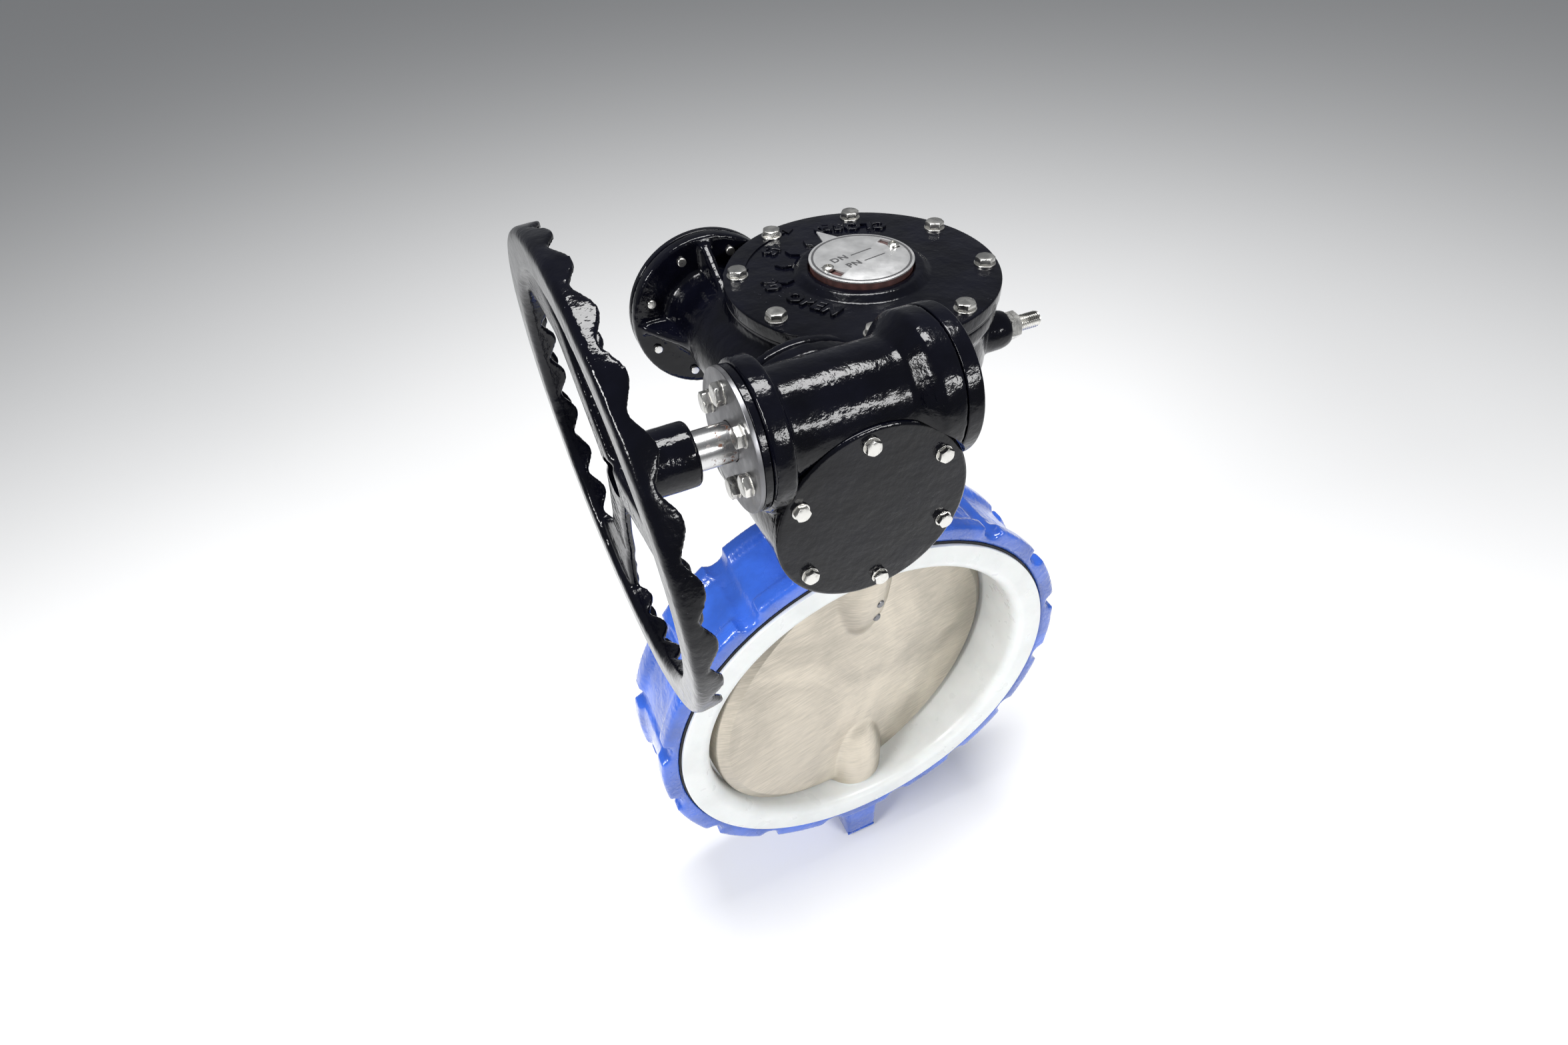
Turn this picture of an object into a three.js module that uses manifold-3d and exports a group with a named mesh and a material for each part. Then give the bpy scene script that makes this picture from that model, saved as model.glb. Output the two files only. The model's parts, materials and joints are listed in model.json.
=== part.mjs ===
// PTFE-lined wafer butterfly valve, DN 400, with a two-stage worm gear operator and a handwheel.
// Millimetres, +Z up along the stem, Y along the pipe, origin where the stem axis crosses the pipe axis.
// The disc is drawn OPEN_AT_REST degrees away from its closed position.
import * as THREE from "three";
import { mergeVertices } from "three/addons/utils/BufferGeometryUtils.js";
import Module from "manifold-3d";

const wasm = await Module();
wasm.setup();

// ---------------------------------------------------------------- driving dimensions
const GAP = 0.3;
const OPEN_AT_REST = 10;

// valve
const DISC_R = 199.4;
const BORE_R = 200.5;
const LINER_OUT_R = 206;
const BACKING_OUT_R = 213;
const FLARE_R = 235;
const FLARE_FACE = 54;
const BODY_R = 257;
const BODY_HALF = 51;
const FLANGE_BOLTS = 16;
const FLANGE_PCR = 257.5;
const NECK_R = 46;
const TOP_FLANGE_R = 105;
const TOP_FLANGE_Z = 404;
const STEM_R = 20;
const HUB_R = 42;
const HUB_END = 195;
const BOSS_END = 322;

// first gear stage: worm and quadrant
const QUAD_Z = 462;
const MODULE_1 = 4;
const TEETH_1 = 39;
const WORM_1_R = 20;
const CROSS_X = -(MODULE_1 * TEETH_1) / 2 - WORM_1_R;
const COVER_R = 112;
const COVER_Z = 510;
const COVER_TOP = 522;
const COVER_BOLT_R = 100;
const STOP_Y = 47;

// second gear stage: worm and wheel
const INPUT_Y = -164;
const MODULE_2 = 3;
const TEETH_2 = 30;
const STARTS_2 = 2;
const WORM_2_R = 17;
const INPUT_Z = QUAD_Z + (MODULE_2 * TEETH_2) / 2 + WORM_2_R;
const DRUM_R = 70;
const DRUM_FRONT = -198;
const DRUM_BACK = -96.3;
const DRUM_BOLT_R = 60;

// input side
const SHAFT_R = 13;
const PLATE_X = -180;
const PLATE_R = 47.3;
const COLLAR_R = 52;
const WHEEL_R = 147.5;
const WHEEL_FRONT = -265;
const WAVES = 26;
const WHEEL_LEAN = [0, -2.4, 1.7];

// ---------------------------------------------------------------- solids from three.js geometry
function solid(geometry) {
  const bare = geometry.index ? geometry.toNonIndexed() : geometry.clone();
  bare.deleteAttribute("normal");
  bare.deleteAttribute("uv");
  const merged = mergeVertices(bare, 1e-4);
  const index = merged.index.array;
  const kept = [];
  for (let i = 0; i < index.length; i += 3) {
    const [a, b, c] = [index[i], index[i + 1], index[i + 2]];
    if (a !== b && b !== c && a !== c) kept.push(a, b, c);
  }
  const build = (tris) =>
    new wasm.Manifold(
      new wasm.Mesh({
        numProp: 3,
        vertProperties: merged.attributes.position.array,
        triVerts: new Uint32Array(tris),
      }),
    );
  const made = build(kept);
  if (made.volume() > 0) return made;
  for (let i = 0; i < kept.length; i += 3) {
    [kept[i + 1], kept[i + 2]] = [kept[i + 2], kept[i + 1]];
  }
  return build(kept);
}

// A closed profile of [radius, height] points turned about Z.
function turned(profile, segments = 28) {
  const points = [...profile, profile[0]].map(([r, h]) => new THREE.Vector2(r, h));
  return solid(new THREE.LatheGeometry(points, segments)).rotate([90, 0, 0]);
}

function rod(radius, from, to, segments = 18) {
  return turned([[0, from], [radius, from], [radius, to], [0, to]], segments);
}

function tube(inner, outer, from, to, segments = 20) {
  return turned([[inner, from], [outer, from], [outer, to], [inner, to]], segments);
}

// A solid drawn about Z laid along X or Y, then moved.
const alongY = (made, x = 0, z = 0) => made.rotate([-90, 0, 0]).translate([x, 0, z]);
const alongX = (made, y = 0, z = 0) => made.rotate([0, 90, 0]).translate([0, y, z]);

function block(x0, x1, y0, y1, z0, z1) {
  const made = solid(new THREE.BoxGeometry(x1 - x0, y1 - y0, z1 - z0));
  return made.translate([(x0 + x1) / 2, (y0 + y1) / 2, (z0 + z1) / 2]);
}

// A polygon of [x, y] points pushed up from z0 to z1.
function pushed(points, z0, z1, steps = 1) {
  const shape = new THREE.Shape(points.map(([x, y]) => new THREE.Vector2(x, y)));
  const made = new THREE.ExtrudeGeometry(shape, { depth: z1 - z0, bevelEnabled: false, steps });
  return solid(made.translate(0, 0, z0));
}

const polar = (radius, degrees) => [
  radius * Math.cos((degrees * Math.PI) / 180),
  radius * Math.sin((degrees * Math.PI) / 180),
];

const union = (first, ...rest) => rest.reduce((all, next) => all.add(next), first);
const cut = (first, ...rest) => rest.reduce((all, next) => all.subtract(next), first);

// ---------------------------------------------------------------- fasteners
// Head up along +Z, the seating face at z = 0; a plain washer under the head.
function hexBolt(across, height, shank, length, washer = 0, washerR = 0) {
  const corner = across / Math.sqrt(3);
  const top = washer + height;
  let made = turned(
    [[0, washer], [corner, washer], [corner, top - 0.8], [corner * 0.88, top], [0, top]],
    6,
  );
  made = made.add(rod(shank, -length, washer + 0.5, 6));
  if (washer > 0) made = made.add(rod(washerR, 0, washer, 12));
  return made;
}

function hexNut(across, height, bore) {
  const corner = across / Math.sqrt(3);
  const hex = solid(new THREE.CylinderGeometry(corner, corner, height, 6)).rotate([90, 0, 0]);
  return hex.translate([0, 0, height / 2]).subtract(rod(bore, -1, height + 1, 12));
}

// ---------------------------------------------------------------- valve
// Body ring turned about the pipe axis, neck and top flange turned about the stem axis.
function body() {
  const half = [
    [BACKING_OUT_R + GAP, 44],
    [237.5, 44],
    [237.5, BODY_HALF],
    [BODY_R, BODY_HALF],
    [BODY_R, 33],
    [BODY_R - 6, 31],
  ];
  const mirrored = half.map(([r, y]) => [r, -y]).reverse();
  let ring = turned([...half, ...mirrored], 48);
  const notch = rod(14.5, -60, 60, 8);
  for (let k = 0; k < FLANGE_BOLTS; k += 1) {
    const angle = (k + 0.5) * (360 / FLANGE_BOLTS);
    if (Math.abs(angle - 90) < 12) continue;
    const [x, y] = polar(FLANGE_PCR + 3, angle);
    ring = ring.subtract(notch.translate([x, y, 0]));
  }
  ring = ring.rotate([90, 0, 0]);
  const neckProfile = [
    [0, 225],
    [66, 225],
    [62, 262],
    [NECK_R + 2, 296],
    [NECK_R, 362],
    [NECK_R + 8, 380],
    [TOP_FLANGE_R, 380],
    [TOP_FLANGE_R, TOP_FLANGE_Z - GAP],
    [0, TOP_FLANGE_Z - GAP],
  ];
  const lugs = pushed(
    [polar(270, 70), polar(270, 110), polar(230, 110), polar(230, 70)],
    -42,
    42,
  ).rotate([90, 0, 0]);
  const lugHoles = [-1, 1].map((side) => {
    const [x, z] = polar(FLANGE_PCR, 90 + side * 11.25);
    return alongY(rod(13, -60, 60, 12), x, z);
  });
  const foot = union(
    block(-22, 22, -44, 44, -BOSS_END, -232),
    pushed(
      [[-62, -236], [-26, -282], [-22, -BOSS_END + 2], [22, -BOSS_END + 2], [26, -282], [62, -236]],
      -40,
      40,
    ).rotate([90, 0, 0]),
  );
  const core = alongY(rod(BACKING_OUT_R + GAP, -70, 70, 48));
  const recess = alongY(rod(237.5, -70, -44, 48)).add(alongY(rod(237.5, 44, 70, 48)));
  const bores = union(
    rod(STEM_R + 6.3, 180, 372, 20),
    rod(STEM_R + 12, 370, 420, 20),
    rod(STEM_R + 6.3, -BOSS_END + 20, -180, 20),
  );
  const flangeSpace = block(-110, 110, 49.5, 120, 200, 296).add(block(-110, 110, -120, -49.5, 200, 296));
  const neck = turned(neckProfile, 32).subtract(flangeSpace);
  let made = union(ring, neck, lugs.subtract(union(...lugHoles)), foot);
  made = cut(made, core, recess, bores);
  for (let k = 0; k < 4; k += 1) {
    const [x, y] = polar(82.5, 45 + 90 * k);
    made = made.subtract(rod(7.6, 370, 410, 8).translate([x, y, 0]));
  }
  for (const y of [-30, 30]) {
    made = made.subtract(rod(4.3, -BOSS_END - 1, -BOSS_END + 16, 8).translate([0, y, 0]));
  }
  return made.subtract(rod(20.8, -BOSS_END - 1, -BOSS_END + 21, 20));
}

// Rubber ring behind the liner: a sleeve with a flange at each end.
function seatBackingRing() {
  const half = [
    [LINER_OUT_R + GAP, 49.2],
    [237.2, 49.2],
    [237.2, 44 + GAP],
    [BACKING_OUT_R, 44 + GAP],
  ];
  const mirrored = half.map(([r, y]) => [r, -y]).reverse();
  const sleeve = alongY(turned([...half, ...mirrored], 48));
  return sleeve.subtract(rod(STEM_R + 1.3, -260, 260, 12));
}

// White liner: a thin sleeve flared over the body faces, rounded at the bore, with a seat at each hub.
function seatLiner() {
  const round = [];
  for (let k = 0; k <= 2; k += 1) {
    const angle = 90 - k * 45;
    const [x, y] = polar(13, angle);
    round.push([BORE_R + 13 - y, FLARE_FACE - 13 + x]);
  }
  const half = [
    ...round,
    [FLARE_R - 1.5, FLARE_FACE],
    [FLARE_R, FLARE_FACE - 1.5],
    [FLARE_R, 49.5],
    [LINER_OUT_R, 49.5],
  ];
  const mirrored = half.map(([r, y]) => [r, -y]).reverse();
  const sleeve = alongY(turned([...half, ...mirrored], 48));
  const jacket = alongY(tube(203, 240, -60, 60, 48));
  const seat = (from, to) => rod(HUB_R - 2, from, to, 20);
  const seats = union(seat(HUB_END + 0.4, 210), seat(-210, -HUB_END - 0.4));
  return sleeve.add(seats.subtract(jacket)).subtract(rod(STEM_R + 1, -260, 260, 16));
}

// Stainless disc: two flat faces with a chamfered rim, and a hub at each end that dies into the faces.
function disc() {
  const half = [
    [0, 20],
    [187.5, 20],
    [198.6, 13],
    [DISC_R, 0],
  ];
  const mirrored = half.map(([r, y]) => [r, -y]).reverse().slice(1);
  const plate = alongY(turned([...half, ...mirrored.slice(0, -1), [0, -20]], 48));
  const hub = turned(
    [[0, 84], [18, 84], [34, 138], [HUB_R, 176], [HUB_R, HUB_END], [0, HUB_END]],
    24,
  );
  const flat = rod(HUB_R, HUB_END, 220, 24);
  let made = cut(plate, flat, flat.rotate([180, 0, 0]));
  made = union(made, hub, hub.rotate([180, 0, 0]));
  made = cut(made, rod(STEM_R + GAP, 100, 230, 20), rod(STEM_R + GAP, -230, -118, 20));
  for (const z of [150, 124]) {
    made = made.subtract(alongY(rod(5.3, -60, 60, 10), 6, z));
  }
  return made.rotate([0, 0, OPEN_AT_REST]);
}

// Driving stem from the disc to the quadrant, with a groove for its key.
function stem() {
  let made = turned(
    [
      [0, 101],
      [STEM_R - 1, 101],
      [STEM_R, 102],
      [STEM_R, 498],
      [STEM_R - 1.5, 499.5],
      [0, 499.5],
    ],
    20,
  );
  made = made.subtract(block(STEM_R - 4, STEM_R + 5, -4.3, 4.3, 440, 510));
  made = made.rotate([0, 0, 90]);
  for (const z of [150, 124]) {
    made = made.subtract(alongY(rod(5.3, -60, 60, 10), 6, z));
  }
  return made.rotate([0, 0, OPEN_AT_REST]);
}

function lowerStub() {
  return rod(STEM_R, -BOSS_END + 6, -119, 20);
}

const upperBush = () => tube(STEM_R + GAP, STEM_R + 6, 262, 352);
const lowerBush = () => tube(STEM_R + GAP, STEM_R + 6, -BOSS_END + 22, -232);
const stemPacking = () => tube(STEM_R + GAP, STEM_R + 11.7, 372.5, 390);

function packingGland() {
  const profile = [
    [STEM_R + GAP, 390.4],
    [STEM_R + 11.7, 390.4],
    [STEM_R + 11.7, 409],
    [STEM_R + GAP, 409],
  ];
  return turned(profile, 20);
}

function bottomCover() {
  let made = union(
    block(-21, 21, -43, 43, -BOSS_END - 8, -BOSS_END - GAP),
    rod(20.4, -BOSS_END - 8, -BOSS_END + 4, 20),
  );
  for (const y of [-30, 30]) {
    made = made.subtract(rod(4.5, -BOSS_END - 9, -BOSS_END, 8).translate([0, y, 0]));
  }
  return made;
}

function discPin(z) {
  const pin = rod(5, -37, 30, 10);
  return alongY(pin, 6, z).rotate([0, 0, OPEN_AT_REST]);
}

// ---------------------------------------------------------------- gears
// A worm along Z: a right-hand trapezoid thread of the given lead on a core, cut to length.
function worm(radius, module, starts, from, to, centre, thin, segments) {
  const pitch = Math.PI * module;
  const lead = pitch * starts;
  const tip = radius + 0.8 * module;
  const root = radius - 1.1 * module;
  const half = thin / 2;
  const slope = Math.tan(Math.PI / 9);
  const section = [
    [-half - 1.1 * module * slope, root],
    [-half + 0.8 * module * slope, tip],
    [half - 0.8 * module * slope, tip],
    [half + 1.1 * module * slope, root],
  ];
  const first = Math.floor((from - centre) / pitch) - starts - 2;
  const last = Math.ceil((to - centre) / pitch) + 2;
  const rows = [];
  for (let i = 0; i <= segments; i += 1) {
    const turn = i / segments;
    const row = [];
    for (let k = first; k <= last; k += 1) {
      for (const [dz, r] of section) {
        const angle = turn * 2 * Math.PI;
        const z = centre + k * pitch + dz + lead * turn;
        row.push([r * Math.cos(angle), r * Math.sin(angle), z]);
      }
    }
    rows.push(row);
  }
  const n = rows[0].length;
  const low = [0, 0, rows[0][0][2] - 40];
  const high = [0, 0, rows[segments][n - 1][2] + 40];
  const positions = [];
  const face = (a, b, c) => positions.push(...a, ...b, ...c);
  for (let i = 0; i < segments; i += 1) {
    for (let j = 0; j < n - 1; j += 1) {
      face(rows[i][j], rows[i + 1][j], rows[i + 1][j + 1]);
      face(rows[i][j], rows[i + 1][j + 1], rows[i][j + 1]);
    }
    face(low, rows[i + 1][0], rows[i][0]);
    face(high, rows[i][n - 1], rows[i + 1][n - 1]);
  }
  const step = section.length * starts;
  for (let j = 0; j < step; j += 1) {
    face(low, rows[0][j], rows[0][j + 1]);
    const m = n - 1 - j;
    face(high, rows[segments][m], rows[segments][m - 1]);
  }
  const geometry = new THREE.BufferGeometry();
  geometry.setAttribute("position", new THREE.Float32BufferAttribute(positions, 3));
  const blank = turned(
    [[0, from], [root - 1, from], [tip + 1, from + 5], [tip + 1, to - 5], [root - 1, to], [0, to]],
    12,
  );
  return solid(geometry).intersect(blank);
}

// A wheel about Z whose teeth lean with the thread of its worm; a gap faces the angle given.
function wheel(module, teeth, wormR, starts, thin, z0, z1, gapAngle) {
  const radius = (module * teeth) / 2;
  const tip = radius + 0.8 * module;
  const root = radius - 1.1 * module;
  const slope = Math.tan(Math.PI / 9);
  const points = [];
  for (let k = 0; k < teeth; k += 1) {
    const middle = gapAngle + ((k + 0.5) * 360) / teeth;
    const wide = ((thin / 2 + 1.1 * module * slope) / root) * (180 / Math.PI);
    const narrow = ((thin / 2 - 0.7 * module * slope) / tip) * (180 / Math.PI);
    points.push(polar(root, middle - wide), polar(tip, middle - narrow));
    points.push(polar(tip, middle + narrow), polar(root, middle + wide));
  }
  const shape = new THREE.Shape(points.map(([x, y]) => new THREE.Vector2(x, y)));
  const depth = z1 - z0;
  const geometry = new THREE.ExtrudeGeometry(shape, { depth, bevelEnabled: false, steps: 1 });
  geometry.translate(0, 0, -depth / 2);
  const lean = (module * starts) / (2 * wormR) / radius;
  const position = geometry.attributes.position;
  for (let i = 0; i < position.count; i += 1) {
    const [x, y, z] = [position.getX(i), position.getY(i), position.getZ(i)];
    const turn = z * lean;
    position.setX(i, x * Math.cos(turn) - y * Math.sin(turn));
    position.setY(i, x * Math.sin(turn) + y * Math.cos(turn));
  }
  return solid(geometry).translate([0, 0, (z0 + z1) / 2]);
}

function wormQuadrant() {
  const rim = wheel(MODULE_1, TEETH_1, WORM_1_R, 1, 5.2, QUAD_Z - 15, QUAD_Z + 15, 180);
  const arc = [];
  for (let angle = 80; angle <= 210; angle += 13) arc.push(polar(110, angle));
  const wedge = pushed([[0, 0], ...arc], QUAD_Z - 20, QUAD_Z + 20);
  let made = union(rim.intersect(wedge), rod(38, QUAD_Z - 24, QUAD_Z + 36, 28));
  made = made.subtract(rod(STEM_R + GAP, 430, 510, 20));
  return made.subtract(block(-4.3, 4.3, 10, STEM_R + 4.3, 430, 510).rotate([0, 0, OPEN_AT_REST]));
}

function stemKey() {
  return block(-4, 4, STEM_R - 3.7, STEM_R + 4, 440.4, 496).rotate([0, 0, OPEN_AT_REST]);
}

// ---------------------------------------------------------------- first-stage gearbox
function gearboxHousing() {
  const shell = turned(
    [
      [0, TOP_FLANGE_Z],
      [TOP_FLANGE_R, TOP_FLANGE_Z],
      [TOP_FLANGE_R, 420],
      [74, 423],
      [74, 430],
      [100, 440],
      [106, 448],
      [106, 488],
      [COVER_R - 1.5, 495],
      [COVER_R - 1.5, 508.5],
      [0, 508.5],
    ],
    40,
  );
  const barrel = alongY(
    turned(
      [
        [0, -96],
        [72, -96],
        [72, -86],
        [44, -83],
        [38, -76],
        [38, 84],
        [42, 98],
        [71, 98],
        [71, 111],
        [0, 111],
      ],
      32,
    ),
    CROSS_X,
    QUAD_Z,
  );
  const rib = pushed([[30, 52], [38, 52], [66, 99], [30, 99]], -4, 4);
  const ribs = [0, 90, 180, 270].map((angle) =>
    rib.rotate([0, angle, 0]).translate([CROSS_X, 0, QUAD_Z]),
  );
  const bosses = [-1, 1].map((side) =>
    alongX(
      turned([[0, 60], [17, 60], [17, 106], [15, 114], [0, 114]], 16),
      side * STOP_Y,
      QUAD_Z,
    ),
  );
  let made = cut(
    union(shell, barrel, ...ribs, ...bosses),
    rod(COVER_R + 2.4, 508.5, 560, 40),
    rod(TOP_FLANGE_R + 2, 360, TOP_FLANGE_Z, 40),
    rod(97, 444, 520, 32),
    rod(62, 434, 450, 20),
    alongY(rod(26.5, -110, 120, 20), CROSS_X, QUAD_Z),
    alongY(rod(30.3, -110, -79, 20).add(rod(30.3, 93, 120, 20)), CROSS_X, QUAD_Z),
    rod(34, 400, 450, 20),
  );
  for (const side of [-1, 1]) {
    made = made.subtract(alongX(rod(7.5, 40, 130, 12), side * STOP_Y, QUAD_Z));
  }
  for (let k = 0; k < 8; k += 1) {
    const [x, y] = polar(COVER_BOLT_R, 22.5 + 45 * k);
    made = made.subtract(rod(5, 494, 515, 6).translate([x, y, 0]));
  }
  for (let k = 0; k < 4; k += 1) {
    const [x, y] = polar(82.5, 45 + 90 * k);
    made = made.subtract(rod(7.6, 400, 424, 8).translate([x, y, 0]));
    made = made.subtract(rod(12, 419.7, 432, 10).translate([x, y, 0]));
  }
  return made;
}

const coverGasket = () => tube(104.8, COVER_R - 2.5, 508.8, 509.7, 32);

function gearboxCover() {
  let made = turned(
    [
      [42.5, COVER_Z],
      [COVER_R, COVER_Z],
      [COVER_R, COVER_TOP - 1.5],
      [COVER_R - 1.5, COVER_TOP],
      [56, COVER_TOP],
      [50, 527.5],
      [42.5, 527.5],
    ],
    48,
  );
  for (let k = 0; k < 8; k += 1) {
    const [x, y] = polar(COVER_BOLT_R, 22.5 + 45 * k);
    made = made.subtract(rod(4.5, COVER_Z - 1, COVER_TOP + 1, 8).translate([x, y, 0]));
  }
  return made;
}

function coverBolt(k) {
  const [x, y] = polar(COVER_BOLT_R, 22.5 + 45 * k);
  const bolt = hexBolt(14, 5.4, 4, 24, 1.4, 8.8).rotate([0, 0, 17 * k]);
  return bolt.translate([x, y, COVER_TOP]);
}

function indicatorHub() {
  let made = turned(
    [
      [0, 500.6],
      [38, 500.6],
      [38, 514],
      [41.5, 516],
      [41.5, 531.2],
      [0, 531.2],
    ],
    28,
  );
  for (const angle of [0, 180]) {
    const [x, y] = polar(33, angle + OPEN_AT_REST);
    made = made.subtract(rod(2.8, 520, 540, 8).translate([x, y, 0]));
  }
  return made;
}

// Round plate with a pointer and two curved slots for setting it.
function indicatorPlate() {
  const outline = [];
  for (let angle = 9; angle <= 351; angle += 9) outline.push(polar(42.5, angle));
  outline.push([61, 0]);
  let made = pushed(outline, 531.6, 533.2);
  for (const side of [0, 180]) {
    const slot = [];
    for (let angle = -9; angle <= 26; angle += 7) slot.push(polar(36.4, angle - 90 + side));
    for (let angle = 26; angle >= -9; angle -= 7) slot.push(polar(29.6, angle - 90 + side));
    made = made.subtract(pushed(slot, 530, 535));
  }
  return made.rotate([0, 0, 90 + OPEN_AT_REST]);
}

function indicatorScrew(side) {
  const [x, y] = polar(33, side + OPEN_AT_REST);
  const head = turned(
    [[0, 521], [2.5, 521], [2.5, 533.5], [4.6, 533.5], [4.6, 535.2], [3.2, 536.6], [0, 536.6]],
    10,
  );
  const cross = union(block(-2.4, 2.4, -0.6, 0.6, 535, 538), block(-0.6, 0.6, -2.4, 2.4, 535, 538));
  return head.subtract(cross).translate([x, y, 0]);
}

// Shaft of the first worm: carries the second-stage wheel at its front end.
function crossShaft() {
  const core = turned(
    [
      [0, -188],
      [10, -188],
      [10, -179],
      [13, -179],
      [13, -149],
      [15, -149],
      [15, -79],
      [14.5, -77],
      [14.5, 92],
      [13, 92],
      [13, 110],
      [0, 110],
    ],
    18,
  );
  const thread = worm(WORM_1_R, MODULE_1, 1, -28, 28, 0, 5.2, 12);
  const laid = alongY(union(core, thread), CROSS_X, QUAD_Z);
  return laid.add(block(-3.5, 3.5, -175, -153, 8, 15.5).translate([CROSS_X, 0, QUAD_Z]));
}

const bearing = (inner, outer, from, to) => tube(inner, outer, from, to, 24);

function rearEndCover() {
  const plate = turned(
    [
      [0, 110.4],
      [29.7, 110.4],
      [29.7, 111.3],
      [71, 111.3],
      [71, 123],
      [0, 123],
    ],
    32,
  );
  return alongY(plate, CROSS_X, QUAD_Z);
}

function stopScrew(side) {
  const made = turned(
    [[0, 20.4], [5.5, 20.4], [7, 22], [7, 146], [5.8, 148], [0, 148]],
    12,
  );
  return alongX(made, side * STOP_Y, QUAD_Z);
}

function stopNut(side) {
  const nut = hexNut(22, 11, 7.5).rotate([0, 0, 12]).translate([0, 0, 114.4]);
  return alongX(nut, side * STOP_Y, QUAD_Z);
}

function mountBolt(k) {
  const [x, y] = polar(82.5, 45 + 90 * k);
  return hexBolt(19, 7.5, 6.8, 44).translate([x, y, 420]);
}

// ---------------------------------------------------------------- second-stage reducer
function reducerHousing() {
  const drum = alongY(
    turned(
      [
        [0, DRUM_FRONT],
        [DRUM_R, DRUM_FRONT],
        [DRUM_R, -111],
        [72, -108],
        [72, DRUM_BACK],
        [0, DRUM_BACK],
      ],
      36,
    ),
    CROSS_X,
    QUAD_Z,
  );
  const cross = alongX(
    turned(
      [
        [0, -171.1],
        [50.3, -171.1],
        [50.3, -157.5],
        [48.5, -156],
        [39, -154.5],
        [39, -70],
        [50, -59],
        [COLLAR_R, -56],
        [COLLAR_R, -40.3],
        [0, -40.3],
      ],
      32,
    ),
    INPUT_Y,
    INPUT_Z,
  );
  let made = cut(
    union(drum, cross),
    alongY(rod(54, DRUM_FRONT - 5, -116, 28), CROSS_X, QUAD_Z),
    alongX(rod(22, -180, -30, 20), INPUT_Y, INPUT_Z),
    alongX(rod(26.3, -180, -155, 20).add(rod(26.3, -56, -30, 20)), INPUT_Y, INPUT_Z),
    alongY(rod(16.5, -125, -90, 18), CROSS_X, QUAD_Z),
    rod(COVER_R + 2.4, 506, 560, 40),
    rod(112, 489, 507, 40),
    rod(107.5, 400, 490, 40),
    alongY(rod(DRUM_R + 2.2, -240, DRUM_FRONT, 36), CROSS_X, QUAD_Z),
  );
  for (let k = 0; k < 6; k += 1) {
    const [x, z] = polar(DRUM_BOLT_R, 95 + 60 * k);
    made = made.subtract(
      alongY(rod(3.6, DRUM_FRONT - 1, DRUM_FRONT + 20, 6), CROSS_X + x, QUAD_Z + z),
    );
  }
  return made;
}

function reducerCover() {
  let made = turned(
    [
      [0, -197],
      [0, -205],
      [71.5, -205],
      [71.5, DRUM_FRONT - GAP],
      [53.4, DRUM_FRONT - GAP],
      [53.4, -194.5],
      [46, -194.5],
      [46, -197],
    ],
    36,
  );
  made = alongY(made, CROSS_X, QUAD_Z);
  for (let k = 0; k < 6; k += 1) {
    const [x, z] = polar(DRUM_BOLT_R, 95 + 60 * k);
    made = made.subtract(alongY(rod(3.6, -210, -190, 6), CROSS_X + x, QUAD_Z + z));
  }
  return made;
}

function reducerCoverBolt(k) {
  const [x, z] = polar(DRUM_BOLT_R, 95 + 60 * k);
  const bolt = hexBolt(10, 4.2, 3, 20, 1.2, 6.2).rotate([0, 0, 23 * k]).rotate([90, 0, 0]);
  return bolt.translate([CROSS_X + x, -205, QUAD_Z + z]);
}

function wormWheel() {
  const toothed = wheel(MODULE_2, TEETH_2, WORM_2_R, STARTS_2, 3.8, INPUT_Y - 10, INPUT_Y + 10, 270);
  const hub = rod(24, INPUT_Y - 14.6, INPUT_Y + 14.6, 20);
  let made = alongY(union(toothed, hub));
  made = made.subtract(alongY(rod(13 + GAP, -190, -140, 20)));
  made = made.subtract(block(-3.8, 3.8, -190, -140, 5, 15.9));
  return made.translate([CROSS_X, 0, QUAD_Z]);
}

function inputShaft() {
  const core = turned(
    [
      [0, -247],
      [12, -247],
      [SHAFT_R, -246],
      [SHAFT_R, -41],
      [0, -41],
    ],
    24,
  );
  const thread = worm(WORM_2_R, MODULE_2, STARTS_2, -120, -76, CROSS_X, 3.8, 12);
  const made = alongX(union(core, thread), INPUT_Y, INPUT_Z);
  return made.subtract(
    block(-260, -210, INPUT_Y - 3.3, INPUT_Y + 3.3, INPUT_Z + 9.5, INPUT_Z + 20),
  );
}

function inputBearing(from, to) {
  return alongX(bearing(SHAFT_R + GAP, 25.7, from, to), INPUT_Y, INPUT_Z);
}

function inputBearingCover() {
  const made = turned(
    [
      [16, -176.4],
      [PLATE_R, -176.4],
      [PLATE_R, -171.4],
      [25.7, -171.4],
      [25.7, -169.9],
      [16, -169.9],
    ],
    28,
  );
  return alongX(made, INPUT_Y, INPUT_Z);
}

function retainerPlate() {
  const made = turned(
    [
      [SHAFT_R + GAP, PLATE_X],
      [PLATE_R, PLATE_X],
      [PLATE_R, -176.7],
      [SHAFT_R + GAP, -176.7],
    ],
    32,
  );
  return alongX(made, INPUT_Y, INPUT_Z);
}

function inputEndCap() {
  const made = turned(
    [[0, -40], [COLLAR_R, -40], [COLLAR_R, -29.5], [COLLAR_R - 2, -27.5], [0, -27.5]],
    32,
  );
  const drum = alongY(rod(DRUM_R + 2.4, -230, -90, 36), CROSS_X, QUAD_Z);
  return alongX(made, INPUT_Y, INPUT_Z).subtract(drum);
}

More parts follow.
